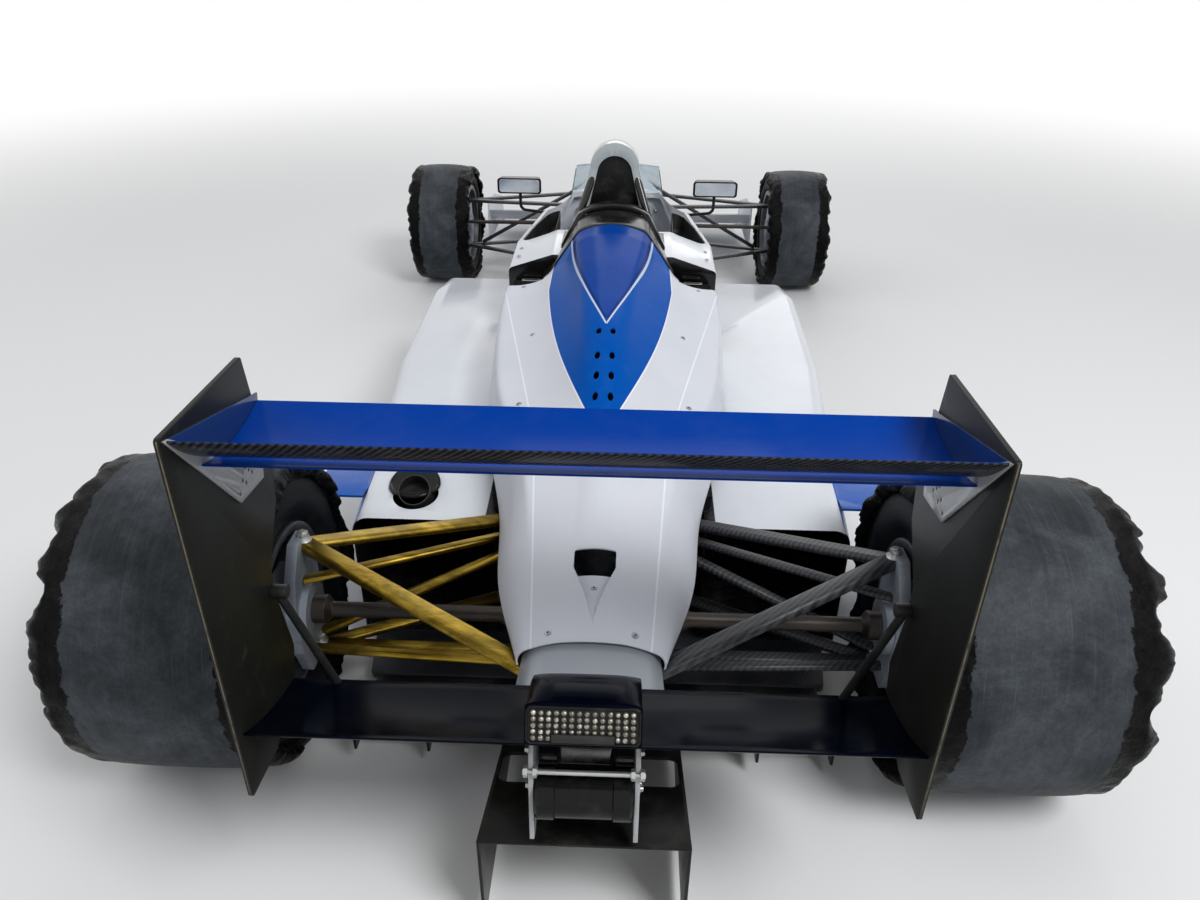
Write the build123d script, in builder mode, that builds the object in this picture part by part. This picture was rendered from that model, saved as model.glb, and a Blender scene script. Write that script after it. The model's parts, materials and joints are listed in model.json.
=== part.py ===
# Open wheel racing car, full size, in millimetres.
# +Y points to the nose, +X to the driver's right, +Z up, and the tyres stand on z = 0.
# The origin is on the ground, halfway along the car and on its centre plane.
# Stations along the car are millimetres ahead of the rear axle, unless a table says otherwise.
import os
from math import cos, radians, sin, tan

from build123d import *

os.makedirs("parts", exist_ok=True)

# Overall sizes
wheelbase = 2950.0
rear_overhang = 529.0
front_overhang = 960.0
rear_half_track = 786.0
front_half_track = 834.0

# Tyres, with the ridges of rolled rubber that hang from the shoulders after a run
rear_tyre_diameter = 634.0
rear_tyre_width = 356.0
rear_ridge_outside = 38.0
rear_ridge_inside = 28.0
front_tyre_diameter = 548.0
front_tyre_width = 258.0
front_ridge_outside = 20.0
front_ridge_inside = 20.0
tyre_wall = 13.0

# Rims
rim_diameter = 330.0
rim_wall = 5.0
flange_height = 14.0
flange_width = 8.0
rear_rim_width = 330.0
front_rim_width = 240.0
spoke_count = 8

# Running clearances
bearing_gap = 0.4
seat_gap = 0.3
tyre_gap = 18.0

# Body widths and heights
floor_bottom = 30.0
floor_thickness = 12.0
tub_half_width = 238.0
tub_length = 1760.0
tub_wall = 12.0
panel_wall = 4.0
cover_wall = 3.0
wing_half_span = 500.0
endplate_thickness = 7.0
front_wing_half_span = 690.0

floor_top = floor_bottom + floor_thickness
pod_inner_x = tub_half_width + seat_gap
rear_axle_y = (rear_overhang - front_overhang - wheelbase) / 2
front_axle_y = rear_axle_y + wheelbase
rear_axle_z = rear_tyre_diameter / 2
front_axle_z = front_tyre_diameter / 2
front_bulkhead = wheelbase + 140
tub_back = front_bulkhead - tub_length
sides = (("left", -1), ("right", 1))


def behind(ahead):
    # Car coordinate y of a station
    return rear_axle_y + ahead


def cross_plane(ahead):
    # Upright plane across the car, with x to the right and z up
    return Plane(origin=(0, behind(ahead), 0), x_dir=(1, 0, 0), z_dir=(0, -1, 0))


def side_plane(x, axle_y=rear_axle_y):
    # Upright plane along the car, with y ahead of the axle and z up
    return Plane(origin=(x, axle_y, 0), x_dir=(0, 1, 0), z_dir=(1, 0, 0))


def outline(plane, points):
    # Flat face bounded by straight edges
    with BuildSketch(plane) as face:
        with BuildLine():
            Polyline(*points, close=True)
        make_face()
    return face.sketch


def rounded_outline(plane, points, radius):
    # Flat face with straight edges and the same round at each corner
    with BuildSketch(plane) as face:
        with BuildLine():
            FilletPolyline(*points, radius=radius, close=True)
        make_face()
    return face.sketch


def both_halves(points):
    # Completes a right half outline, listed from the top down, with the left half
    return points + [(-x, z) for x, z in reversed(points) if x > 0]


def add_rod(start, end, radius, mode=Mode.ADD):
    # Round bar between two points of the car
    along = Vector(*end) - Vector(*start)
    with Locations(Plane(origin=start, z_dir=along)):
        Cylinder(radius, along.length, align=(Align.CENTER, Align.CENTER, Align.MIN), mode=mode)


def add_blade(start, end, chord, depth):
    # Flat sided bar with round edges between two points, wider along the car
    along = Vector(*end) - Vector(*start)
    chord_axis = Vector(0, 1, 0) - along.normalized() * along.normalized().Y
    with BuildSketch(Plane(origin=start, x_dir=chord_axis, z_dir=along)) as blade:
        SlotOverall(chord, depth)
    extrude(blade.sketch, amount=along.length)


def finish(piece, label):
    piece.part.label = label
    export_step(piece.part, f"parts/{label}.step")


# Steering gear
steering_arm = 95.0
rack_ahead = wheelbase - steering_arm
rack_z = front_axle_z + 34
rack_radius = 12.0
rod_radius = 8.0
eye_half_height = 9.0
eye_radius = 14.0
kingpin_x = front_half_track - 99
stub_length = 30.0
wheel_centre_ahead = tub_back + 800
wheel_centre_z = 552.0
wheel_radius = 118.0
column_tilt = 18.0
column_length = 190.0
column_radius = 12.0
dash_ahead = tub_back + 962
dash_thickness = 8.0


def column_z(ahead):
    # Height of the steering column's axis
    return wheel_centre_z - (ahead - wheel_centre_ahead) * tan(radians(column_tilt))


# Tub: a carbon box with the cockpit cut into its top and the legs' space ahead of it
# columns: ahead of the tub's back, half width, bottom z, side top z, deck half width, deck z
tub_sections = (
    (0, tub_half_width, floor_top, 500, 150, 585),
    (370, tub_half_width, floor_top, 520, 180, 600),
    (970, tub_half_width - 10, floor_top, 520, 180, 600),
    (1370, 180, 110, 480, 120, 565),
    (tub_length, 145, 165, 440, 90, 520),
)
bulkhead_thickness = 60.0
# the cockpit's opening: columns are ahead of the tub's back, half width
opening_plan = ((246, tub_half_width + 66), (656, tub_half_width + 20), (940, tub_half_width - 62))
opening_floor = 470.0
opening_round = 60.0


def tub_outline(section, wall=0.0):
    # Closed section of the tub, smaller by the wall
    ahead, half, bottom, side_top, deck_half, deck = section
    points = [(deck_half - wall / 2, deck - wall), (half - wall, side_top - wall / 2)]
    points += [(half - wall, bottom + wall)]
    return outline(cross_plane(tub_back + ahead), both_halves(points))


def tub_solid(mode=Mode.ADD):
    loft([tub_outline(section) for section in tub_sections], ruled=True, mode=mode)


def opening_face():
    # Cockpit opening seen from above, with round corners
    plan = [(half, behind(tub_back + ahead)) for ahead, half in opening_plan]
    with BuildSketch(Plane.XY.offset(opening_floor)) as face:
        with BuildLine():
            FilletPolyline(*both_halves(plan), radius=opening_round, close=True)
        make_face()
    return face.sketch


with BuildPart() as monocoque:
    tub_solid()
    inner = [(170, tub_half_width, floor_top, 520, 180, 600)] + list(tub_sections[1:-1])
    inner += [(tub_length - bulkhead_thickness, 149, 160, 443, 93, 524)]
    loft([tub_outline(section, tub_wall) for section in inner], ruled=True, mode=Mode.SUBTRACT)
    extrude(opening_face(), amount=400, mode=Mode.SUBTRACT)
    # dash bulkhead that carries the steering column
    dash_half = tub_half_width - 18
    dash = [(0, 589), (dash_half - 48, 589), (dash_half, 505), (dash_half, 430), (0, 430)]
    extrude(outline(cross_plane(dash_ahead), both_halves(dash)), amount=-dash_thickness)
    bore_ends = [(0, behind(dash_ahead + reach), column_z(dash_ahead + reach)) for reach in (-60, 60)]
    add_rod(*bore_ends, column_radius + bearing_gap, mode=Mode.SUBTRACT)
    # holes for the steering rack
    rack_ends = [(x, behind(rack_ahead), rack_z) for x in (-tub_half_width, tub_half_width)]
    add_rod(*rack_ends, rack_radius + bearing_gap, mode=Mode.SUBTRACT)
finish(monocoque, "monocoque")

# Nose: a tapering box from the front bulkhead to a raised tip
# columns: ahead of the front bulkhead, half width, bottom z, side top z, deck half width, deck z
nose_length = wheelbase + front_overhang - 45 - front_bulkhead
nose_sections = (
    (seat_gap, 145, 165, 440, 90, 520),
    (0.43 * nose_length, 115, 190, 370, 72, 440),
    (nose_length - 120, 85, 215, 290, 55, 325),
    (nose_length, 55, 225, 262, 36, 280),
)
nose_round = 17.0


def nose_solid(mode=Mode.ADD):
    faces = []
    for ahead, half, bottom, side_top, deck_half, deck in nose_sections:
        points = [(deck_half, deck), (half, side_top), (half, bottom)]
        faces.append(rounded_outline(cross_plane(front_bulkhead + ahead), both_halves(points), nose_round))
    loft(faces, ruled=True, mode=mode)


with BuildPart() as nose_cone:
    nose_solid()
finish(nose_cone, "nose_cone")

# Cockpit surround: broad sides with padded edges, open over the driver
# columns: ahead of the tub's back, beyond the tub's half width, foot z, side top z, rim half width, rim z
surround_sections = (
    (15, 92, 405, 596, 190, 642),
    (254, 95, 405, 606, 188, 655),
    (656, 43, 440, 600, 180, 636),
    (960, -2, 505, 530, 172, 608),
)
surround_round = 16.0
with BuildPart() as cockpit_surround:
    faces = []
    for ahead, beyond, foot, side_top, rim_half, rim in surround_sections:
        half = tub_half_width + beyond
        points = [(rim_half, rim), (half, side_top), (half, foot)]
        faces.append(rounded_outline(cross_plane(tub_back + ahead), both_halves(points), surround_round))
    loft(faces, ruled=True)
    extrude(opening_face(), amount=400, mode=Mode.SUBTRACT)
    tub_solid(mode=Mode.SUBTRACT)
finish(cockpit_surround, "cockpit_surround")

# Windscreen: a low screen that wraps round the front of the cockpit
screen_back = tub_back + 896
screen_front = tub_back + 1090
screen_straight = 60.0
screen_foot_z = 560.0
screen_height = 150.0
screen_half_width = tub_half_width - 46
screen_lean = 26.0
screen_rake = 80.0
screen_thickness = 3.0


def screen_ring(height, lean, rake, thinner):
    # D shape of the screen at one height, smaller as the screen leans in
    half = screen_half_width - lean - thinner
    straight = behind(screen_back + screen_straight)
    back = behind(screen_back) - thinner
    with BuildSketch(Plane.XY.offset(height)) as ring:
        with BuildLine():
            Line((-half, back), (-half, straight))
            ThreePointArc((-half, straight), (0, behind(screen_front - rake) - thinner), (half, straight))
            Line((half, straight), (half, back))
            Line((half, back), (-half, back))
        make_face()
    return ring.sketch


with BuildPart() as windscreen:
    for thinner, mode in ((0.0, Mode.ADD), (screen_thickness, Mode.SUBTRACT)):
        low = screen_ring(screen_foot_z, 0, 0, thinner)
        high = screen_ring(screen_foot_z + screen_height, screen_lean, screen_rake, thinner)
        loft([low, high], ruled=True, mode=mode)
    tub_solid(mode=Mode.SUBTRACT)
    add(cockpit_surround.part, mode=Mode.SUBTRACT)
finish(windscreen, "windscreen")

# Seat: a reclined shell with raised sides and a head pad
# Outlines are (ahead of the tub's back, z)
seat_width = 300.0
seat_side = 14.0
seat_foot = floor_top + tub_wall + seat_gap
seat_back = ((260, 560), (330, 300), (410, seat_foot), (750, 100), (750, 130), (440, 104), (370, 300),
             (300, 560))
seat_wing = ((260, 560), (410, seat_foot), (750, 100), (750, 170), (520, 200), (430, 380), (360, 560))
head_pad = ((256, 556), (252, 716), (300, 700), (312, 556))
head_pad_width = 250.0
head_pad_round = 14.0
with BuildPart() as seat:
    seat_plane = side_plane(-seat_width / 2, behind(tub_back))
    extrude(outline(seat_plane, seat_back), amount=seat_width)
    pad_plane = side_plane(-head_pad_width / 2, behind(tub_back))
    extrude(rounded_outline(pad_plane, head_pad, head_pad_round), amount=head_pad_width)
    for side, sign in sides:
        x_low = sign * seat_width / 2 - seat_side / 2
        extrude(outline(side_plane(x_low, behind(tub_back)), seat_wing), amount=seat_side)
finish(seat, "seat")

# Roll hoop: an arch on a pad behind the driver's head, with stays and a lower arch behind it
hoop_ahead = tub_back + 170
hoop_base_z = 655.0
hoop_top_z = 955.0
hoop_depth = 60.0
hoop_pad = 15.0
collar_ahead = tub_back + 74
collar_half = 166.0
# columns: ahead of rear axle, depth, half width at the foot, half width at the bend, leg's thickness,
# crown's thickness, top z, bend z
arches = (
    (hoop_ahead, hoop_depth, 130, 78, 25, 39, hoop_top_z, hoop_top_z - 78),
    (collar_ahead, 34, collar_half, 112, 22, 22, 792, 756),
)
# hoop stays: (x, ahead of rear axle, z)
hoop_stay_top = (70, hoop_ahead + 12, 850)
hoop_stay_foot = (128, collar_ahead + 20, 690)
hoop_stay_radius = 12.0


def arch(plane, base_half, bend_half, base_z, top_z, bend_z):
    # Face under an arch: two leaning legs and a round crown
    with BuildSketch(plane) as face:
        with BuildLine():
            Line((-base_half, base_z), (-bend_half, bend_z))
            ThreePointArc((-bend_half, bend_z), (0, top_z), (bend_half, bend_z))
            Line((bend_half, bend_z), (base_half, base_z))
            Line((base_half, base_z), (-base_half, base_z))
        make_face()
    return face.sketch


def add_arch(row):
    # Arch with an open middle
    ahead, depth, base_half, bend_half, leg, crown, top_z, bend_z = row
    plane = cross_plane(ahead)
    extrude(arch(plane, base_half, bend_half, hoop_base_z, top_z, bend_z), amount=-depth)
    inside = arch(plane, base_half - leg, bend_half - leg, hoop_base_z, top_z - crown, bend_z)
    extrude(inside, amount=-depth, mode=Mode.SUBTRACT)


with BuildPart() as roll_hoop:
    for row in arches:
        add_arch(row)
    for side, sign in sides:
        ends = [(sign * x, behind(ahead), z) for x, ahead, z in (hoop_stay_top, hoop_stay_foot)]
        add_rod(*ends, hoop_stay_radius)
    with Locations((0, behind((hoop_ahead + hoop_depth + collar_ahead) / 2), hoop_base_z - hoop_pad / 2)):
        Box(2 * collar_half, hoop_ahead + hoop_depth - collar_ahead, hoop_pad)
    add(cockpit_surround.part, mode=Mode.SUBTRACT)
finish(roll_hoop, "roll_hoop")

# Engine cover: a shell with a raised spine between two broad shoulders, ending in a narrow tail
# columns: ahead of rear axle, spine z, edge half width, edge z, valley half width, valley z,
# shoulder half width, shoulder z, foot half width, foot z
cover_front = tub_back - 150
cover_sections = (
    (-222, 449, 60, 445, 92, 436, 112, 428, 134, 388),
    (0, 520, 44, 512, 92, 497, 132, 478, 196, 388),
    (222, 590, 40, 578, 100, 560, 165, 545, 222, 404),
    (0.475 * cover_front, 700, 52, 682, 128, 612, 262, 560, 292, 405),
    (0.763 * cover_front, 742, 74, 724, 172, 622, 305, 580, 322, 405),
    (cover_front, 764, 104, 738, 190, 628, 318, 598, 330, 405),
)
side_bow = 7.0
outlet_ahead = -58.0
cooling_holes = (350, 420, 494, 584)


def cover_outline(section, wall=0.0):
    ahead, spine_z, edge, edge_z, valley, valley_z, shoulder, shoulder_z, foot, foot_z = section
    top = edge - 0.4 * wall, edge_z - wall
    corner = shoulder - 0.8 * wall, shoulder_z - wall
    middle = valley - 0.6 * wall, valley_z - wall
    bow = (shoulder + foot) / 2 + side_bow - wall, (shoulder_z + foot_z) / 2 + side_bow
    with BuildSketch(cross_plane(ahead)) as face:
        with BuildLine():
            ThreePointArc((-top[0], top[1]), (0, spine_z - wall), top)
            Line((-(foot - wall), foot_z), (foot - wall, foot_z))
            for sign in (-1, 1):
                points = top, middle, corner, bow, (foot - wall, foot_z)
                placed = [(sign * x, z) for x, z in points]
                ThreePointArc(*placed[:3])
                ThreePointArc(*placed[2:])
        make_face()
    return face.sketch


with BuildPart() as engine_cover:
    loft([cover_outline(section) for section in cover_sections], ruled=True)
    loft([cover_outline(section, cover_wall) for section in cover_sections], ruled=True, mode=Mode.SUBTRACT)
    # dome over the airbox, from the shoulders' front edge to the collar
    # columns: ahead of rear axle, top z, edge half width, edge z, foot half width, foot z
    dome_sections = (
        (cover_front, 764, 104, 738, 190, 629),
        (collar_ahead - seat_gap, 772, 104, 745, 150, 660),
    )
    for thinner, mode in ((0.0, Mode.ADD), (cover_wall, Mode.SUBTRACT)):
        rings = []
        for ahead, top_z, edge, edge_z, foot, foot_z in dome_sections:
            rim, base = (edge - 0.4 * thinner, edge_z - thinner), (foot - thinner, foot_z - 0.3 * thinner)
            with BuildSketch(cross_plane(ahead)) as ring:
                with BuildLine():
                    ThreePointArc((-rim[0], rim[1]), (0, top_z - thinner), rim)
                    Line(rim, base)
                    Line(base, (-base[0], base[1]))
                    Line((-base[0], base[1]), (-rim[0], rim[1]))
                make_face()
            rings.append(ring.sketch)
        loft(rings, ruled=True, mode=mode)
    # rectangular outlet on top of the tail
    with BuildSketch(Plane.XY.offset(480)):
        with Locations((0, behind(outlet_ahead))):
            RectangleRounded(80, 54, 8)
    extrude(amount=100, mode=Mode.SUBTRACT)
    # cooling holes in pairs along the spine
    with BuildSketch(Plane.XY.offset(600)):
        for ahead in cooling_holes:
            with Locations((-17, behind(ahead)), (17, behind(ahead))):
                Ellipse(6.5, 13)
    extrude(amount=200, mode=Mode.SUBTRACT)
finish(engine_cover, "engine_cover")

# Engine and gearbox
engine_back = 480.0
engine_front = tub_back - seat_gap
engine_half_width = 190.0
with BuildPart() as engine_block:
    block = [(0, 530), (70, 530), (engine_half_width, 400), (engine_half_width, 230), (130, 70), (0, 70)]
    extrude(outline(cross_plane(engine_back), both_halves(block)), amount=-(engine_front - engine_back))
finish(engine_block, "engine_block")

# columns: ahead of rear axle, half width, bottom z, top z
gearbox_sections = (
    (-250, 72, 215, 380),
    (-140, 95, 180, 386),
    (240, 100, 150, 386),
    (engine_back - seat_gap, 180, 90, 400),
)
gearbox_back = gearbox_sections[0][0]
output_half_width = 120.0
output_radius = 52.0
# hood over the gearbox's tail, between the engine cover and the rear wing's lower element
hood_sections = (
    (-205, 98, 366, 418),
    (-306, 134, 366, 402),
)
with BuildPart() as gearbox:
    rings = []
    for ahead, half, bottom, top in gearbox_sections:
        casing = [(0.8 * half, top), (half, top - 0.25 * (top - bottom)), (half, bottom)]
        rings.append(rounded_outline(cross_plane(ahead), both_halves(casing), 12))
    loft(rings, ruled=True)
    rings = []
    for ahead, half, bottom, top in hood_sections:
        with BuildSketch(cross_plane(ahead)) as ring:
            with BuildLine():
                ThreePointArc((-half, bottom + 6), (0, top), (half, bottom + 6))
                Polyline((half, bottom + 6), (half, bottom), (-half, bottom), (-half, bottom + 6))
            make_face()
        rings.append(ring.sketch)
    loft(rings, ruled=True)
    # output flanges that carry the inner ends of the half shafts
    flange_ends = [(x, rear_axle_y, rear_axle_z) for x in (-output_half_width, output_half_width)]
    add_rod(*flange_ends, output_radius)
finish(gearbox, "gearbox")

# Sidepods: open ducts from the front intake to the slot at the back
# columns: ahead of rear axle, outer x, top z
pod_sections = (
    (258, 570, 368),
    (450, 582, 384),
    (776, 606, 392),
    (1080, 638, 398),
    (tub_back + 338, 653, 402),
    (tub_back + 460, 628, 402),
)
pod_round = 40.0
pod_overcut = 5.0
tail_section, mouth_section = pod_sections[0], pod_sections[-1]
duct_sections = ((tail_section[0] - pod_overcut, *tail_section[1:]), *pod_sections[1:-1],
                 (mouth_section[0] + pod_overcut, *mouth_section[1:]))
pipe_x = 438.0
pipe_outlet = engine_back - 130
# panel that carries the air up ahead of the rear tyre: (ahead of rear axle, z)
flick_back = rear_axle_z + tyre_gap
flick_inner_x = 560.0
flick_width = 240.0
flick_outline = ((flick_back, 372), (flick_back, 378), (560, 352), (760, 240), (760, 232), (560, 345))


def pod_outline(section, sign, wall=0.0):
    ahead, outer, top = section
    x_in, x_out, x_turn = (sign * x for x in (pod_inner_x + wall, outer - wall, outer - pod_round))
    z_turn = top - pod_round
    reach = (pod_round - wall) * cos(radians(45))
    with BuildSketch(cross_plane(ahead)) as face:
        with BuildLine():
            ThreePointArc((x_out, z_turn), (x_turn + sign * reach, z_turn + reach), (x_turn, top - wall))
            Polyline((x_turn, top - wall), (x_in, top - wall), (x_in, floor_top + wall),
                     (x_out, floor_top + wall), (x_out, z_turn))
        make_face()
    return face.sketch


for side, sign in sides:
    with BuildPart() as sidepod:
        loft([pod_outline(section, sign) for section in pod_sections], ruled=True)
        extrude(outline(side_plane(sign * flick_inner_x), flick_outline), amount=sign * flick_width)
        duct = [pod_outline(section, sign, panel_wall) for section in duct_sections]
        loft(duct, ruled=True, mode=Mode.SUBTRACT)
        # port in the inner wall, from the engine bay
        with BuildSketch(side_plane(sign * (pod_inner_x - 1))):
            with Locations((engine_back + 220, 260)):
                Rectangle(280, 130)
        extrude(amount=sign * (panel_wall + 2), mode=Mode.SUBTRACT)
        if side == "left":
            with BuildSketch(Plane.XY.offset(340)):
                with Locations((-pipe_x, behind(pipe_outlet))):
                    Ellipse(53, 56)
            extrude(amount=100, mode=Mode.SUBTRACT)
    finish(sidepod, f"sidepod_{side}")

# Exhaust: a pipe that rises through the left pod's top
pipe_radius = 38.0
pipe_wall = 3.0
pipe_bend = 45.0
with BuildPart() as exhaust:
    pipe_start = engine_back + 210
    route = ((-engine_half_width - seat_gap, pipe_start, 270), (-275, pipe_start, 270),
             (-pipe_x, pipe_outlet + 70, 296), (-pipe_x, pipe_outlet - 12, 396))
    for radius, mode in ((pipe_radius, Mode.ADD), (pipe_radius - pipe_wall, Mode.SUBTRACT)):
        with BuildLine() as pipe_path:
            FilletPolyline(*[(x, behind(ahead), z) for x, ahead, z in route], radius=pipe_bend)
        with BuildSketch(Plane(origin=pipe_path.line @ 0, z_dir=pipe_path.line % 0)) as pipe_section:
            Circle(radius)
        sweep(pipe_section.sketch, path=pipe_path.line, mode=mode)
finish(exhaust, "exhaust")

# Floor: the flat undertray with room for the rear tyres
# columns: half width, ahead of rear axle
floor_plan = (
    (150, tub_back + 1120),
    (235, tub_back + 920),
    (300, tub_back + 570),
    (600, tub_back + 470),
    (660, tub_back + 350),
    (646, 480),
    (560, rear_axle_z + 63),
    (520, 100),
)
floor_round = 12.0
with BuildPart() as floor:
    with BuildSketch(Plane.XY.offset(floor_bottom)):
        with BuildLine():
            plan = [(x, behind(ahead)) for x, ahead in floor_plan]
            FilletPolyline(*both_halves(plan), radius=floor_round, close=True)
        make_face()
    extrude(amount=floor_thickness)
finish(floor, "floor")

# Diffuser: side ramps and a centre tunnel with fences that hang behind the gearbox
# Outlines are (ahead of rear axle, z)
diffuser_front = floor_plan[-1][1] - seat_gap
tunnel_half_width = 178.0
tunnel_wall = 6.0
tunnel_back = 54 - rear_overhang
ramp_back = -120.0
ramp_half_width = 500.0
tunnel_roof = ((diffuser_front, floor_bottom), (diffuser_front, floor_top), (-190, 132), (tunnel_back, 236),
               (tunnel_back, 230), (-190, 124))
tunnel_fence = ((diffuser_front, floor_top), (-190, 132), (tunnel_back, 236), (tunnel_back, 28), (60, 28),
                (diffuser_front, floor_bottom))
ramp_front = ((diffuser_front, floor_bottom), (diffuser_front, floor_top))
side_ramp = (*ramp_front, (ramp_back, 120), (ramp_back, 113))
side_strake = (*ramp_front, (ramp_back, 120), (ramp_back, 40))
strake_x = 340.0
with BuildPart() as diffuser:
    extrude(outline(side_plane(-tunnel_half_width), tunnel_roof), amount=2 * tunnel_half_width)
    for side, sign in sides:
        x_low = sign * (tunnel_half_width - tunnel_wall / 2) - tunnel_wall / 2
        extrude(outline(side_plane(x_low), tunnel_fence), amount=tunnel_wall)
        ramp_width = ramp_half_width - tunnel_half_width
        extrude(outline(side_plane(sign * tunnel_half_width), side_ramp), amount=sign * ramp_width)
        for x_inner in (strake_x, ramp_half_width - tunnel_wall):
            extrude(outline(side_plane(sign * x_inner), side_strake), amount=sign * tunnel_wall)
finish(diffuser, "diffuser")


def aerofoil(plane, section_row, tail_height=3.0):
    # Wing section: two arcs between a blunt nose and a thin tail
    # belly and crown are how far the lower and upper arcs bow below the chord
    nose, tail, belly, crown, nose_height = section_row
    along = Vector(*tail) - Vector(*nose)
    down = Vector(along.Y, -along.X) / along.length
    if down.Y > 0:
        down = -down
    middle = (Vector(*nose) + Vector(*tail)) / 2
    low_nose = Vector(*nose) + down * nose_height
    low_tail = Vector(*tail) + down * tail_height
    tip = (Vector(*nose) + low_nose) / 2 - along.normalized() * nose_height * 0.4
    with BuildSketch(plane) as section:
        with BuildLine():
            ThreePointArc(low_nose, middle + down * belly, low_tail)
            Line(low_tail, Vector(*tail))
            ThreePointArc(Vector(*tail), middle + down * crown, Vector(*nose))
            ThreePointArc(Vector(*nose), tip, low_nose)
        make_face()
    return section.sketch


def from_tail(points):
    # Turns (ahead of the car's rearmost edge, z) into (ahead of the rear axle, z)
    return [(ahead - rear_overhang, z) for ahead, z in points]


# Rear wing: a deep main plane and a steep flap between two tall endplates
# Outlines are (ahead of the car's rearmost edge, z)
# wing sections: nose, tail, belly, crown, nose height
main_row = (*from_tail(((273, 930), (77, 922))), 84, 58, 12)
flap_row = (*from_tail(((93, 948), (12, 1008))), 22, 6, 11)
beam_row = (*from_tail(((211, 434), (17, 511))), 34, 10, 14)
rib_thickness = 3.0
element_half_span = wing_half_span - rib_thickness
with BuildPart() as rear_wing_main:
    extrude(aerofoil(side_plane(-element_half_span), main_row), amount=2 * element_half_span)
finish(rear_wing_main, "rear_wing_main")

with BuildPart() as rear_wing_flap:
    extrude(aerofoil(side_plane(-element_half_span), flap_row), amount=2 * element_half_span)
finish(rear_wing_flap, "rear_wing_flap")

plate_outline = from_tail(((0, 1015), (254, 1009), (287, 800), (277, 750), (211, 665), (213, 598),
                           (236, 489), (223, 440), (105, 382), (1, 392)))
plate_round = 6.0
for side, sign in sides:
    with BuildPart() as endplate:
        plate = rounded_outline(side_plane(sign * wing_half_span), plate_outline, plate_round)
        extrude(plate, amount=sign * endplate_thickness)
    finish(endplate, f"rear_endplate_{side}")

# End ribs: grey plates that close the wing's ends, with a fan of adjuster holes
rib_outline = from_tail(((5, 1010), (160, 822), (245, 813), (279, 940)))
hole_rows = 3
holes_in_row = 4
with BuildPart() as wing_end_ribs:
    for side, sign in sides:
        x_low = sign * (wing_half_span - rib_thickness / 2) - rib_thickness / 2
        extrude(outline(side_plane(x_low), rib_outline), amount=rib_thickness)
        with BuildSketch(side_plane(x_low)):
            for row in range(hole_rows):
                for step in range(holes_in_row):
                    with Locations((163 - rear_overhang + 24 * row + 15 * step, 836 + 13 * step + 4 * row)):
                        Circle(3.2)
        extrude(amount=rib_thickness, mode=Mode.SUBTRACT)
finish(wing_end_ribs, "wing_end_ribs")

with BuildPart() as beam_wing:
    extrude(aerofoil(side_plane(-wing_half_span), beam_row), amount=2 * wing_half_span)
finish(beam_wing, "beam_wing")

# Rain light in a fairing on top of the beam wing
light_half_width = 86.0
fairing = from_tail(((19, 509), (13, 517), (13, 546), (17, 554), (48, 570), (60, 572), (122, 562),
                     (132, 556), (179, 505), (189, 436), (101, 458)))
with BuildPart() as rain_light:
    extrude(outline(side_plane(-light_half_width), fairing), amount=2 * light_half_width)
    add(beam_wing.part, mode=Mode.SUBTRACT)
finish(rain_light, "rain_light")

# Crash structure behind the gearbox, with two brackets that carry the beam wing
crash_back = 93 - rear_overhang
bracket_x = 84.0
bracket_thickness = 8.0
bracket_outline = from_tail(((199, 244), (199, 405), (177, 434), (89, 462), (59, 400), (47, 256), (59, 250)))
boss_radius = 20.0
tow_pin_radius = 8.0
tow_pin_ahead, tow_pin_z = 67 - rear_overhang, 275
# columns: ahead of rear axle, half width, bottom z, top z
crash_sections = (
    (gearbox_back - seat_gap, 58, 240, 345),
    (crash_back, 46, 262, 385),
)
with BuildPart() as crash_structure:
    rings = []
    for ahead, half, bottom, top in crash_sections:
        rings.append(rounded_outline(cross_plane(ahead), both_halves([(half, top), (half, bottom)]), 9))
    loft(rings, ruled=True)
    for side, sign in sides:
        x_low = sign * bracket_x - bracket_thickness / 2
        extrude(outline(side_plane(x_low), bracket_outline), amount=bracket_thickness)
        boss_reach = 40, bracket_x + bracket_thickness / 2
        add_rod(*[(sign * x, behind(crash_back + 36), 320) for x in boss_reach], boss_radius)
    # the brackets' tops follow the underside of the beam wing
    add(beam_wing.part, mode=Mode.SUBTRACT)
    pin_half = bracket_x + bracket_thickness
    pin_ends = [(x, behind(tow_pin_ahead), tow_pin_z) for x in (-pin_half, pin_half)]
    add_rod(*pin_ends, tow_pin_radius, mode=Mode.SUBTRACT)
finish(crash_structure, "crash_structure")

# Stays from the beam wing up to the endplates
stay_radius = 7.0
stay_top = (wing_half_span - stay_radius, 201 - rear_overhang, 629)
stay_foot = (wing_half_span - 78, 203 - rear_overhang, 430)
with BuildPart() as wing_stays:
    for side, sign in sides:
        ends = [(sign * x, behind(ahead), z) for x, ahead, z in (stay_foot, stay_top)]
        add_rod(*ends, stay_radius)
        add_rod((sign * (wing_half_span - 24), behind(stay_top[1]), stay_top[2]),
                (sign * wing_half_span, behind(stay_top[1]), stay_top[2]), 1.6 * stay_radius)
    add(beam_wing.part, mode=Mode.SUBTRACT)
finish(wing_stays, "wing_stays")

# Rear suspension: wishbones, links and pushrod on each side, from the gearbox to the upright
rear_upright_inner = rear_half_track - 194
upright_step = rear_half_track - rear_rim_width / 2 - 7
# outer ends: (ahead of rear axle, above the axle)
upper_ball = (40, 135)
lower_ball = (34, -127)
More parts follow.
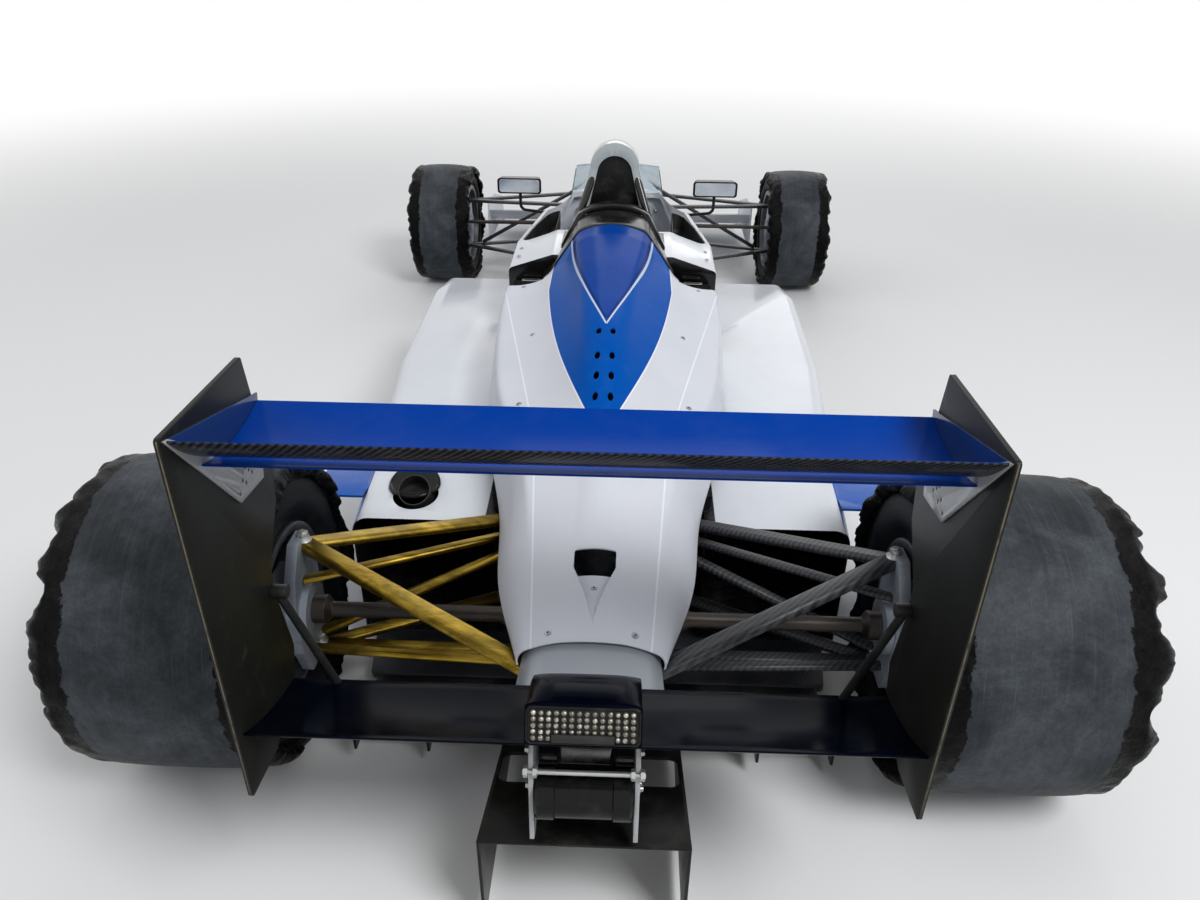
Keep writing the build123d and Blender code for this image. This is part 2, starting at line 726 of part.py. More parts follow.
# columns: outer end, inner end (x, ahead of rear axle, z), chord, depth
rear_links = (
    (upper_ball, (88, 300, 370), 34, 20),
    (upper_ball, (76, -228, 358), 42, 24),
    (lower_ball, (96, 24, 196), 32, 18),
    (lower_ball, (110, 296, 170), 32, 18),
    ((-14, -95), (84, -40, 222), 24, 16),
    ((0, 72), (96, 300, 340), 24, 14),
    ((48, -104), (92, 232, 366), 26, 20),
)
link_end = 2.0
for side, sign in sides:
    with BuildPart() as rear_suspension:
        for (outer_ahead, above), inner_end, chord, depth in rear_links:
            start = (sign * (rear_upright_inner + link_end), behind(outer_ahead), rear_axle_z + above)
            end = (sign * inner_end[0], behind(inner_end[1]), inner_end[2])
            add_blade(start, end, chord, depth)
        add(gearbox.part, mode=Mode.SUBTRACT)
        outboard = Plane(origin=(sign * rear_upright_inner, rear_axle_y, rear_axle_z), z_dir=(sign, 0, 0))
        with Locations(outboard):
            Box(800, 800, 60, align=(Align.CENTER, Align.CENTER, Align.MIN), mode=Mode.SUBTRACT)
    finish(rear_suspension, f"rear_suspension_{side}")

# Rear uprights: castings that join the wishbones and carry the hub bearings
# Outlines are (ahead of rear axle, above the axle)
hub_radius = 30.0
bearing_radius = 58.0
brake_radius = rim_diameter / 2 - 33
brake_thickness = 12.0
brake_x = rear_half_track - 86
rear_upright_outer = brake_x - 36
casting_outline = ((-60, -70), (-66, 24), (-40, 100), (4, 156), (62, 154), (82, 100), (84, 14),
                   (64, -141), (-34, -141))
core_outline = ((-90, -42), (-70, 68), (70, 68), (90, -12), (30, -106), (-30, -106))
with BuildPart() as rear_uprights:
    for side, sign in sides:
        for x_start, x_end, points in ((rear_upright_inner, upright_step, casting_outline),
                                       (upright_step, rear_upright_outer, core_outline)):
            raised = [(ahead, rear_axle_z + above) for ahead, above in points]
            extrude(rounded_outline(side_plane(sign * x_start), raised, 10), amount=sign * (x_end - x_start))
        # bearing housing and its bore
        for x_start, x_end, radius, mode in (
            (rear_upright_inner - 14, rear_upright_outer + 12, bearing_radius, Mode.ADD),
            (rear_upright_inner - 80, brake_x + 20, hub_radius + bearing_gap, Mode.SUBTRACT),
        ):
            add_rod(*[(sign * x, rear_axle_y, rear_axle_z) for x in (x_start, x_end)], radius, mode)
finish(rear_uprights, "rear_uprights")


def tyre_ring(plane, width, diameter, bead_width, bead_radius, ridge_out, ridge_in):
    # Half section of a tyre, to turn about the wheel axis
    # In the plane, x runs out along the axle and y is the radius
    outer = diameter / 2
    half = width / 2
    seat = bead_width / 2
    flange_top = bead_radius + flange_height + 2
    middle = (bead_radius + outer) / 2 + 2
    shoulder = outer - 0.16 * (outer - bead_radius) - 22
    tread = half - 34
    inner_seat = seat - tyre_wall
    with BuildSketch(plane) as ring:
        with BuildLine():
            for sign, ridge in ((1, ridge_out), (-1, ridge_in)):
                # from the bead up the side wall, over the ridge and onto the tread
                wall = [(seat, bead_radius), (seat, flange_top), (half - 1, middle), (half - 6, shoulder)]
                wall += [(half + 0.4 * ridge, outer - 38), (half + ridge, outer - 22)]
                wall += [(half + 0.55 * ridge, outer - 9.5), (half - 8, outer - 5), (tread, outer - 3)]
                placed = [(sign * x, radius) for x, radius in wall]
                Line(*placed[:2])
                ThreePointArc(*placed[1:4])
                ThreePointArc(*placed[3:6])
                ThreePointArc(*placed[5:8])
                Line(*placed[7:])
                lining = [(seat, bead_radius), (inner_seat, bead_radius), (half - tyre_wall, middle)]
                lining += [(tread, outer - tyre_wall - 3)]
                Polyline(*[(sign * x, radius) for x, radius in lining])
            ThreePointArc((tread, outer - 3), (0, outer), (-tread, outer - 3))
            Line((-tread, outer - tyre_wall - 3), (tread, outer - tyre_wall - 3))
        make_face()
    return ring.sketch


# columns: end of the car, axle y, axle z, half track, tyre diameter, tyre width, rim width,
# ridge outside, ridge inside
axles = (
    ("rear", rear_axle_y, rear_axle_z, rear_half_track, rear_tyre_diameter, rear_tyre_width,
     rear_rim_width, rear_ridge_outside, rear_ridge_inside),
    ("front", front_axle_y, front_axle_z, front_half_track, front_tyre_diameter, front_tyre_width,
     front_rim_width, front_ridge_outside, front_ridge_inside),
)
seat_radius = rim_diameter / 2
lip_radius = seat_radius + flange_height
well_radius = seat_radius - 18
disc_offset = 46.0
disc_thickness = 14.0
hub_face_radius = 44.0
window_middle = (well_radius + hub_face_radius) / 2 - 3
window_reach = 60.0
hub_start = {"rear": brake_x + 18, "front": kingpin_x + stub_length + seat_gap}
for end_name, axle_y, axle_z, half_track, diameter, width, rim_width, ridge_out, ridge_in in axles:
    for side, sign in sides:
        # the plane's x runs outwards along the axle from the wheel's centre
        centre = (sign * half_track, axle_y, axle_z)
        wheel_plane = Plane(origin=centre, x_dir=(sign, 0, 0), z_dir=(0, -sign, 0))
        wheel_axis = Axis(wheel_plane.origin, wheel_plane.x_dir)
        with BuildPart() as tyre:
            bead_width = rim_width - 2 * flange_width - 2 * seat_gap
            bead = bead_width, seat_radius + seat_gap
            revolve(tyre_ring(wheel_plane, width, diameter, *bead, ridge_out, ridge_in), axis=wheel_axis)
        finish(tyre, f"tyre_{end_name}_{side}")

        half_rim = rim_width / 2
        inner_flange = half_rim - flange_width
        with BuildPart() as rim:
            seat_inside = seat_radius - rim_wall
            well_inside = well_radius - rim_wall
            barrel = [(half_rim, lip_radius), (inner_flange, lip_radius), (inner_flange, seat_radius)]
            barrel += [(half_rim - 40, seat_radius), (half_rim - 56, well_radius)]
            barrel += [(40 - half_rim, well_radius), (26 - half_rim, seat_radius)]
            barrel += [(-inner_flange, seat_radius), (-inner_flange, lip_radius)]
            barrel += [(-half_rim, lip_radius), (-half_rim, seat_inside)]
            barrel += [(24 - half_rim, seat_inside), (38 - half_rim, well_inside)]
            barrel += [(half_rim - 58, well_inside), (half_rim - 42, seat_inside), (half_rim, seat_inside)]
            revolve(outline(wheel_plane, barrel), axis=wheel_axis)
            # dished centre with a ring of spokes
            dish = [(disc_offset, well_radius), (disc_offset, well_inside), (disc_offset + 20, 40)]
            dish += [(disc_offset + 40, 40), (disc_offset + 40, 46)]
            dish += [(disc_offset + disc_thickness, well_radius)]
            revolve(outline(wheel_plane, dish), axis=wheel_axis)
            face_plane = Plane(origin=wheel_plane.origin, x_dir=(0, 1, 0), z_dir=(sign, 0, 0))
            with BuildSketch(face_plane.offset(disc_offset - 10)) as windows:
                with PolarLocations(window_middle, spoke_count):
                    Trapezoid(window_reach, 50, 76, rotation=90)
                fillet(windows.vertices(), 9)
            extrude(windows.sketch, amount=70, mode=Mode.SUBTRACT)
            hub_inner = hub_start[end_name] - half_track
            hub = [(hub_inner, 0), (hub_inner, 34), (disc_offset + 6, 36)]
            hub += [(disc_offset + 14, hub_face_radius), (disc_offset + 44, hub_face_radius)]
            hub += [(disc_offset + 44, 24), (disc_offset + 62, 22), (disc_offset + 62, 0)]
            revolve(outline(wheel_plane, hub), axis=wheel_axis)
        finish(rim, f"rim_{end_name}_{side}")

# Half shafts: boot, bar and stub with the brake disc, turning with the rear wheels
shaft_start = output_half_width + 3
shaft_radius = 16.0
boot_radius = 44.0
stub_start = rear_upright_inner - 40
for side, sign in sides:
    shaft_plane = Plane(origin=(0, rear_axle_y, rear_axle_z), x_dir=(sign, 0, 0), z_dir=(0, -sign, 0))
    with BuildPart() as half_shaft:
        profile = [(shaft_start, 0), (shaft_start, boot_radius), (shaft_start + 17, boot_radius)]
        profile += [(shaft_start + 27, 38), (shaft_start + 73, shaft_radius)]
        profile += [(stub_start - 12, shaft_radius), (stub_start, hub_radius)]
        profile += [(brake_x - 6, hub_radius), (brake_x - 6, 62), (brake_x, 62)]
        profile += [(brake_x, brake_radius), (brake_x + brake_thickness, brake_radius)]
        profile += [(brake_x + brake_thickness, 50), (hub_start["rear"], 50), (hub_start["rear"], 0)]
        revolve(outline(shaft_plane, profile), axis=Axis(shaft_plane.origin, shaft_plane.x_dir))
    finish(half_shaft, f"half_shaft_{side}")

# Front suspension: wishbones and pushrods from the tub to the kingpins
kingpin_reach = 96.0
front_upper_z = front_axle_z + kingpin_reach
front_lower_z = front_axle_z - kingpin_reach
housing_radius = 15.0
# columns: outer end, inner end (x, ahead of front axle, z), chord, depth
front_links = (
    ((kingpin_x, 0, front_upper_z + 14), (100, 112, 410), 30, 14),
    ((kingpin_x, 0, front_upper_z + 14), (110, -230, 430), 30, 14),
    ((kingpin_x, 0, front_lower_z - 12), (90, 112, 190), 30, 14),
    ((kingpin_x, 0, front_lower_z - 12), (90, -270, 150), 30, 14),
    ((kingpin_x - 70, -6, front_lower_z + 6), (90, -40, 520), 26, 16),
)
with BuildPart() as front_suspension:
    for side, sign in sides:
        for outer, inner_end, chord, depth in front_links:
            start = (sign * outer[0], front_axle_y + outer[1], outer[2])
            end = (sign * inner_end[0], front_axle_y + inner_end[1], inner_end[2])
            add_blade(start, end, chord, depth)
        # ball joint housings that end just clear of the upright
        for z_far, z_near in ((front_upper_z + 23, front_upper_z + seat_gap),
                              (front_lower_z - 21, front_lower_z - seat_gap)):
            housing = [(sign * kingpin_x, front_axle_y, z) for z in (z_far, z_near)]
            add_rod(*housing, housing_radius)
    tub_solid(mode=Mode.SUBTRACT)
finish(front_suspension, "front_suspension")

# Front uprights: steered about the kingpins, with the stub axle and the steering arm
for side, sign in sides:
    with BuildPart() as front_upright:
        casting = [(30, front_lower_z), (44, front_axle_z), (30, front_upper_z), (-30, front_upper_z)]
        casting += [(-44, front_axle_z), (-30, front_lower_z)]
        extrude(outline(side_plane(sign * (kingpin_x - 16), front_axle_y), casting), amount=sign * 36)
        stub = [(sign * x, front_axle_y, front_axle_z) for x in (kingpin_x - 20, kingpin_x + stub_length)]
        add_rod(*stub, 46)
        arm_top = rack_z - eye_half_height - seat_gap
        arm_end = -steering_arm - 14
        arm = [(-16, arm_top - 12), (-16, arm_top), (arm_end, arm_top), (arm_end, arm_top - 12)]
        extrude(outline(side_plane(sign * (kingpin_x - 14), front_axle_y), arm), amount=sign * 28)
    finish(front_upright, f"front_upright_{side}")

# Steering rack with its track rods: a bar that slides across the tub behind the front axle
rack_half_length = 200.0
with BuildPart() as steering_rack:
    for half_length, radius in ((rack_half_length, rack_radius), (kingpin_x, rod_radius)):
        add_rod(*[(x, behind(rack_ahead), rack_z) for x in (-half_length, half_length)], radius)
    for side, sign in sides:
        eye_heights = rack_z - eye_half_height, rack_z + eye_half_height
        add_rod(*[(sign * kingpin_x, behind(rack_ahead), z) for z in eye_heights], eye_radius)
finish(steering_rack, "steering_rack")

# Steering wheel on its column
column_axis = Vector(0, cos(radians(column_tilt)), -sin(radians(column_tilt)))
wheel_centre = Vector(0, behind(wheel_centre_ahead), wheel_centre_z)
grip_thickness = 26.0
with BuildPart() as steering_wheel:
    grip_plane = Plane(origin=wheel_centre, x_dir=(1, 0, 0), z_dir=column_axis)
    with BuildSketch(grip_plane.offset(-grip_thickness / 2)):
        RectangleRounded(2 * wheel_radius + 20, 2 * wheel_radius - 50, 70)
        RectangleRounded(2 * wheel_radius - 36, 2 * wheel_radius - 106, 46, mode=Mode.SUBTRACT)
        Rectangle(2 * wheel_radius - 20, 70)
    extrude(amount=grip_thickness)
    add_rod(tuple(wheel_centre), tuple(wheel_centre + column_axis * column_length), column_radius)
finish(steering_wheel, "steering_wheel")

# Mirrors, each on one bent stalk
mirror_x = 382.0
mirror_ahead = tub_back + 836
mirror_z = 658.0
stalk_radius = 6.0
stalk_bend = 24.0
# columns: ahead of the mirror's middle, half width, half height
mirror_rings = (
    (-26, 86, 30),
    (18, 80, 27),
    (52, 44, 14),
)
with BuildPart() as mirrors:
    for side, sign in sides:
        shells = []
        for step, half_width, half_height in mirror_rings:
            with BuildSketch(cross_plane(mirror_ahead + step)) as ring:
                with Locations((sign * mirror_x, mirror_z)):
                    RectangleRounded(2 * half_width, 2 * half_height, 12)
            shells.append(ring.sketch)
        loft(shells, ruled=True)
        route = ((mirror_x, mirror_z - 20), (mirror_x, 560), (190, 540))
        with BuildLine() as stalk_path:
            FilletPolyline(*[(sign * x, behind(mirror_ahead), z) for x, z in route], radius=stalk_bend)
        with BuildSketch(Plane(origin=stalk_path.line @ 0, z_dir=stalk_path.line % 0)) as stalk:
            Circle(stalk_radius)
        sweep(stalk.sketch, path=stalk_path.line)
    tub_solid(mode=Mode.SUBTRACT)
    add(cockpit_surround.part, mode=Mode.SUBTRACT)
finish(mirrors, "mirrors")

# Front wing: main plane under the nose, a flap each side, and end plates
# Outlines are (ahead of the front axle, z), measured back from the front edge
wing_front = front_overhang - 80
pylon_x = 46.0
pylon_thickness = 6.0
flap_start_x = 130.0
# wing sections: nose, tail, belly, crown, nose height
front_main_row = ((wing_front, 104), (wing_front - 320, 132), 34, 8, 14)
front_flap_row = ((wing_front - 300, 148), (wing_front - 480, 232), 26, 4, 10)
pylon = ((wing_front - 20, 108), (wing_front - 50, 262), (wing_front - 190, 262), (wing_front - 240, 118))
with BuildPart() as front_wing_main:
    main_plane = side_plane(-front_wing_half_span, front_axle_y)
    extrude(aerofoil(main_plane, front_main_row), amount=2 * front_wing_half_span)
    for side, sign in sides:
        x_low = sign * pylon_x - pylon_thickness / 2
        extrude(outline(side_plane(x_low, front_axle_y), pylon), amount=pylon_thickness)
    nose_solid(mode=Mode.SUBTRACT)
finish(front_wing_main, "front_wing_main")

with BuildPart() as front_wing_flaps:
    for side, sign in sides:
        flap = aerofoil(side_plane(sign * flap_start_x, front_axle_y), front_flap_row)
        extrude(flap, amount=sign * (front_wing_half_span - flap_start_x))
    nose_solid(mode=Mode.SUBTRACT)
finish(front_wing_flaps, "front_wing_flaps")

front_plate = ((front_overhang, 62), (front_overhang - 30, 170), (front_overhang - 340, 262),
               (front_overhang - 570, 272), (front_overhang - 580, 62))
front_plate_thickness = 6.0
with BuildPart() as front_endplates:
    for side, sign in sides:
        plate = rounded_outline(side_plane(sign * front_wing_half_span, front_axle_y), front_plate, 10)
        extrude(plate, amount=sign * front_plate_thickness)
finish(front_endplates, "front_endplates")
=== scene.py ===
import json
import math

import bmesh
import bpy
from mathutils import Matrix, Vector, noise


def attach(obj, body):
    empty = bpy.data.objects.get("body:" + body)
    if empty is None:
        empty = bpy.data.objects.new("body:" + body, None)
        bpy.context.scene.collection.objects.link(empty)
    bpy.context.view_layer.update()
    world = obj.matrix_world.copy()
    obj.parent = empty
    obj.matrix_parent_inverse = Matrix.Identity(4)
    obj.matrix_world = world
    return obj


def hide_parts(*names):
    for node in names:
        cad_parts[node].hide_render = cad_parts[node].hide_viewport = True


# The looks of an open wheel racing car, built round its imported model. Metres, nose towards +Y.
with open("model.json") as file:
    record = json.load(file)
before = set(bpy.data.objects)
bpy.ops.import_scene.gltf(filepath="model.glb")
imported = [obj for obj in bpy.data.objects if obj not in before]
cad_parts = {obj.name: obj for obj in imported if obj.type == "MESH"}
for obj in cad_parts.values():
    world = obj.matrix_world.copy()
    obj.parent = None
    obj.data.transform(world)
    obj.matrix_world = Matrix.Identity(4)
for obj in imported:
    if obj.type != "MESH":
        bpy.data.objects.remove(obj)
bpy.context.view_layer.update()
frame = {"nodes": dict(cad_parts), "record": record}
scene = bpy.context.scene
record = frame["record"]
bodyOf = {node: body for body, nodes in record["behaviour"]["bodies"].items() for node in nodes}
rearAxle = (-1.6905, 0.317)  # y, z
frontAxle = (1.2595, 0.274)
sides = (("left", -1), ("right", 1))


def fromAxle(x, ahead, z):
    # a place given by how far it is ahead of the rear axle
    return Vector((x, rearAxle[0] + ahead, z))


def linear(rgb):
    # a colour as seen on a screen, 0 to 255, made linear for a node
    return (*(round((v / 255 / 12.92 if v < 11 else ((v / 255 + 0.055) / 1.055) ** 2.4), 4) for v in rgb), 1)


def inScene(name, data):
    # a new object that holds this data
    placed = bpy.data.objects.new(name, data)
    scene.collection.objects.link(placed)
    return placed


camera = {"place": (0.0455, -3.1328, 1.5453), "yaw": 0.0277, "pitch": -0.5237, "roll": 0.0123, "lens": 27.275}


def makeCamera(look):
    cosYaw, sinYaw = math.cos(look["yaw"]), math.sin(look["yaw"])
    cosPitch, sinPitch = math.cos(look["pitch"]), math.sin(look["pitch"])
    cosRoll, sinRoll = math.cos(look["roll"]), math.sin(look["roll"])
    forward = Vector((-sinYaw * cosPitch, cosYaw * cosPitch, sinPitch))
    across = Vector((cosYaw, sinYaw, 0))
    upward = across.cross(forward)
    turn = Matrix((cosRoll * across + sinRoll * upward, cosRoll * upward - sinRoll * across, -forward))
    data = bpy.data.cameras.new("photoCamera")
    data.lens = look["lens"]
    data.clip_end = 200
    scene.camera = inScene("photoCamera", data)
    scene.camera.matrix_world = Matrix.Translation(look["place"]) @ turn.transposed().to_4x4()


makeCamera(camera)
scene.view_settings.view_transform = "Standard"
print("camera placed")


class Wire:
    # a node's output that can stand in a sum
    def __init__(self, maker, socket):
        self.maker, self.socket = maker, socket

    def sum(self, operation, *others):
        inputs = dict(enumerate((self, *others)))
        return self.maker.node("ShaderNodeMath", {"operation": operation}, inputs)

    def __rsub__(self, other):
        return self * -1.0 + other

    def __rtruediv__(self, other):
        return self ** -1.0 * other

    def step(self, start, end, first=0.0, last=1.0):
        # turned smoothly from one range to another
        inputs = {0: self, 1: start, 2: end, 3: first, 4: last}
        return self.maker.node("ShaderNodeMapRange", {"interpolation_type": "SMOOTHSTEP"}, inputs)


def summing(operation):
    return lambda wire, *others: wire.sum(operation, *others)


for method, operation in {
        "__add__": "ADD", "__radd__": "ADD", "__sub__": "SUBTRACT", "__mul__": "MULTIPLY", "__rmul__": "MULTIPLY",
        "__truediv__": "DIVIDE", "__mod__": "FLOORED_MODULO", "__pow__": "POWER", "__lt__": "LESS_THAN",
        "__gt__": "GREATER_THAN", "__abs__": "ABSOLUTE", "floor": "FLOOR", "sine": "SINE", "high": "MAXIMUM",
        "low": "MINIMUM"}.items():
    setattr(Wire, method, summing(operation))


class Maker:
    # makes nodes in one tree
    def __init__(self, tree):
        self.tree = tree
        tree.nodes.clear()

    def node(self, kind, settings=None, inputs=None, output=0):
        made = self.tree.nodes.new(kind)
        for key, value in (settings or {}).items():
            if key == "stops":
                fillRamp(made.color_ramp, value)
            else:
                setattr(made, key, value)
        for key, value in (inputs or {}).items():
            if isinstance(value, Wire):
                self.tree.links.new(value.socket, made.inputs[key])
            elif made.inputs[key].type == "RGBA" and len(value) == 3:
                made.inputs[key].default_value = linear(value)
            else:
                made.inputs[key].default_value = value
        return Wire(self, made.outputs[output]) if made.outputs else made


class Finish(Maker):
    # a material, with the patterns that finishes share
    def __init__(self, name):
        self.material = bpy.data.materials.new(name)
        self.material.use_nodes = True
        super().__init__(self.material.node_tree)

    def place(self, stretch=None, turn=None):
        spot = self.node("ShaderNodeTexCoord", output=3)
        if stretch or turn:
            inputs = {"Vector": spot, "Scale": stretch or (1, 1, 1), "Rotation": turn or (0, 0, 0)}
            spot = self.node("ShaderNodeMapping", None, inputs)
        return spot

    def parts(self, spot=None):
        split = self.node("ShaderNodeSeparateXYZ", None, {0: spot or self.place()})
        return [Wire(self, split.socket.node.outputs[axis]) for axis in range(3)]

    def onCar(self):
        # across, ahead of the rear axle and up
        x, y, z = self.parts()
        return x, y - rearAxle[0], z

    def facing(self):
        return self.parts(self.node("ShaderNodeNewGeometry", output=1))

    def noise(self, scale, detail=3.0, rough=0.5, spot=None, twist=0.0):
        inputs = {"Vector": spot or self.place(), "Scale": scale, "Detail": detail, "Roughness": rough}
        return self.node("ShaderNodeTexNoise", None, {**inputs, "Distortion": twist})

    def mark(self, name):
        # a number kept on the mesh
        return self.node("ShaderNodeAttribute", {"attribute_name": name}, None, 2)

    def blend(self, share, first, second):
        return self.node("ShaderNodeMix", {"data_type": "RGBA"}, {0: share, 6: first, 7: second}, 2)

    def bump(self, height, distance, strength=1.0):
        return self.node("ShaderNodeBump", None, {"Height": height, "Distance": distance, "Strength": strength})

    def done(self, inputs):
        shader = self.node("ShaderNodeBsdfPrincipled", None, inputs)
        self.node("ShaderNodeOutputMaterial", None, {"Surface": shader})
        return self.material


def fillRamp(ramp, stops):
    while len(ramp.elements) > 1:
        ramp.elements.remove(ramp.elements[-1])
    ramp.elements[0].position, ramp.elements[0].color = stops[0][0], linear(stops[0][1])
    for position, tint in stops[1:]:
        ramp.elements.new(position).color = linear(tint)


paints = {"white": (206, 210, 217), "pearl": (206, 209, 217), "blue": (0, 78, 166),
          "deepBlue": (0, 60, 146), "wingBlue": (0, 56, 146), "navy": (2, 5, 16),
          "silverLine": (190, 204, 222), "outline": (226, 230, 238), "dust": (176, 172, 164),
          "rough": 0.14}


def paintFinish(name, base, dust=0.2, shine=0.35, coat=0.25):
    # gloss paint with faint orange peel, smudges and a little dust on what faces up
    finish = Finish(name)
    colour = base(finish) if callable(base) else base
    cloud = finish.noise(5.0, 4.0, 0.6).step(0.3, 0.72)
    smudge = finish.noise(21.0, 5.0, 0.65).step(0.42, 0.75)
    speck = finish.noise(420.0, 2.0, 0.5).step(0.66, 0.74)
    facing = finish.facing()[2].step(0.2, 0.9)
    dirt = (smudge * 0.35 + speck) * facing * dust
    shaded = finish.node("ShaderNodeMix", {"data_type": "RGBA", "blend_type": "MULTIPLY"},
                         {0: cloud * 0.10, 6: colour, 7: (190, 196, 210)}, 2)
    peel = finish.noise(240.0, 1.0) * 0.3 + finish.noise(60.0, 2.0)
    return finish.done({
        "Base Color": finish.blend(dirt, shaded, paints["dust"]),
        "Roughness": dirt * 0.5 + cloud * 0.06 + smudge * 0.05 + paints["rough"],
        "Coat Weight": coat, "Coat Roughness": 0.04, "Specular IOR Level": shine,
        "Normal": finish.bump(peel, 0.0004, 0.12)})


# where each V begins ahead of the rear axle and how it widens, and the shoulder stripe's two slopes and offsets
coverLines = {"outer": 0.24, "outerRun": -0.52, "outerReach": 0.225, "outerMost": 0.178, "inner": 0.615,
              "innerSlope": 0.322, "innerBend": 0.205, "stripe": ((0.2, 0.087), (0.075, 0.1245))}


def coverColours(finish):
    # blue over the spine in a long V, a silver V inside it, a pale stripe down each shoulder, a painted shadow beside
    # the silver V and a painted highlight along the blue's outer edge
    x, along, z = finish.onCar()
    side, (back, front) = abs(x), coverLines["stripe"]
    outer = (along - coverLines["outer"]).high(0.0)
    outerHalf = (1 - (outer / coverLines["outerRun"]).sum("EXPONENT")) * coverLines["outerReach"]
    outerHalf = outerHalf.low(coverLines["outerMost"])
    inner = (along - coverLines["inner"]).high(0.0)
    innerHalf = inner * coverLines["innerSlope"] - inner * inner * coverLines["innerBend"]
    inside = (outerHalf - side).step(-0.0006, 0.0006) * (outer > 0.001)
    deep = (innerHalf - side).step(-0.0005, 0.0005) * (inner > 0.001)
    # rim: a pale painted highlight along the outer edge of the blue
    rim = 1 - abs(outerHalf - side).step(0.0010, 0.0020)
    vLine = (1 - abs(innerHalf - side).step(0.0018, 0.0028)) * (inner > 0.001)
    shadow = (1 - abs(innerHalf - side - 0.007).step(0.0020, 0.0035)) * (inner > 0.03) * 0.6
    stripeAt = (along * back[0] + back[1]).high(along * front[0] + front[1])
    stripe = 1 - abs(side - stripeAt).step(0.0012, 0.0024)
    blue = finish.blend(deep, paints["blue"], paints["deepBlue"])
    blue = finish.blend(shadow, blue, (0, 24, 72))
    colour = finish.blend(inside, finish.blend(stripe, paints["pearl"], paints["outline"]), blue)
    colour = finish.blend(vLine, colour, paints["silverLine"])
    return finish.blend(rim * (outer > 0.001), colour, paints["outline"])


# the blue tail's inner side, its front edge with its slant, and the pale line on it
podLines = {"inner": 0.556, "front": 0.765, "slant": 0.25, "line": 0.690}


def podColours(finish):
    # white pods whose outer tails are blue
    x, along, z = finish.onCar()
    side, front = abs(x), podLines["front"]
    edge = along - (side - 0.56) * podLines["slant"]
    tail = (side - podLines["inner"]).step(0.0, 0.001) * (1 - edge.step(front, front + 0.002))
    line = 1 - abs(side - podLines["line"]).step(0.003, 0.004)
    blue = finish.blend(line, paints["blue"], paints["outline"])
    facing = finish.facing()
    inward = (facing[0] * x).step(-0.16, -0.08, 1.0, 0.0).high(1 - facing[2].step(-0.4, -0.2))
    inward = inward.high(1 - side.step(0.262, 0.264)).high(facing[2].step(0.5, 0.7) * (z < 0.2))
    inward = inward.high((1 - facing[1].step(-0.8, -0.6)) * (along < 0.27))
    lining = finish.blend(twill(finish, "xy", 0.004)[0], (9, 9, 10), (24, 25, 27))
    return finish.blend(inward, finish.blend(tail, paints["white"], blue), lining)


def frontPlateColours(finish):
    # blue outside, white inside
    x, y, z = finish.parts()
    facing = finish.facing()
    return finish.blend((facing[0] * x).step(0.1, 0.3), paints["white"], paints["wingBlue"])


def ribColours(finish):
    # bare plate below the flap, with a painted reflection of the blue wing above it
    x, y, z = finish.parts()
    top = (z - (rearAxle[0] - 0.436 - y) * 0.741 - 0.951).step(-0.0005, 0.0005)
    grain = finish.noise(30.0, 4.0, 0.7, finish.place((1.0, 1.0, 12.0)))
    plate = finish.blend(grain, (150, 151, 150), (186, 187, 186))
    # the dark blue above the flap line is a painted reflection of the blue wing
    return finish.blend(top, plate, (30, 52, 96))


def noseColours(finish):
    # white with a blue top from the screen forwards
    x, along, z = finish.onCar()
    half = (along - 2.15).high(0.0) * 0.062 + 0.045
    top = (half - abs(x)).step(-0.0006, 0.0006) * (z > 0.30)
    rim = (1 - abs(half - abs(x)).step(0.0015, 0.0025)) * (z > 0.30)
    colour = finish.blend(top, paints["white"], paints["blue"])
    return finish.blend(rim, colour, paints["silverLine"])


def surroundColours(finish):
    # white, with its back face and its pockets black
    x, along, z = finish.onCar()
    back = 1 - along.step(1.3465, 1.3475)
    return finish.blend(back, paints["white"], (12, 12, 14))


def hoopColours(finish):
    # pale grey hoop over a black collar
    x, along, z = finish.onCar()
    collar = (1 - along.step(1.4985, 1.4995)).high(1 - z.step(0.662, 0.664))
    return finish.blend(collar, (168, 176, 178), (10, 11, 13))


def gearboxColours(finish):
    # cast case, with the pale hood that closes the cover's tail
    x, along, z = finish.onCar()
    hood = (1 - along.step(-0.204, -0.203)) * z.step(0.364, 0.367)
    cast = finish.blend(finish.noise(40.0, 5.0, 0.7), (44, 45, 47), (84, 86, 88))
    return finish.blend(hood, cast, (176, 178, 180))


def crashColours(finish):
    # black box between two silver brackets
    x, y, z = finish.parts()
    grain = finish.noise(300.0, 3.0, 0.6, finish.place((1.0, 0.1, 1.0)))
    silver = finish.blend(grain, (136, 138, 140), (190, 192, 194))
    return finish.blend(abs(x).step(0.0790, 0.0795), (14, 15, 17), silver)


def flapColours(finish):
    # gloss blue where the wing looks up, bare weave where it looks back and down
    facing = finish.facing()
    under = 1 - facing[2].step(-0.05, 0.02)
    back = (facing[1] * -1.0).step(0.55, 0.75)
    weave = twill(finish, "xz", 0.0028)[0]
    colour = finish.blend(weave, (12, 13, 15), (58, 60, 66))
    return finish.blend(under.high(back), paints["wingBlue"], colour)


def twill(finish, plane, width, spot=None):
    # a two by two twill: which tow is on top, and how its threads stand
    axes = finish.parts(spot)
    u, v = [axes["xyz".index(letter)] / width for letter in plane]
    over = (u.floor() - v.floor()) % 4.0 < 2.0
    crown = ((u % 1.0) * math.pi).sine() * over + ((v % 1.0) * math.pi).sine() * (1 - over)
    thread = (finish.noise(0.9 / width, 2.0, 0.7) - 0.5) * 0.35
    return over * 0.75 + crown * 0.25 + thread, crown


carbon = {"tow": 0.0026, "dark": (17, 18, 21), "pale": (66, 69, 76)}


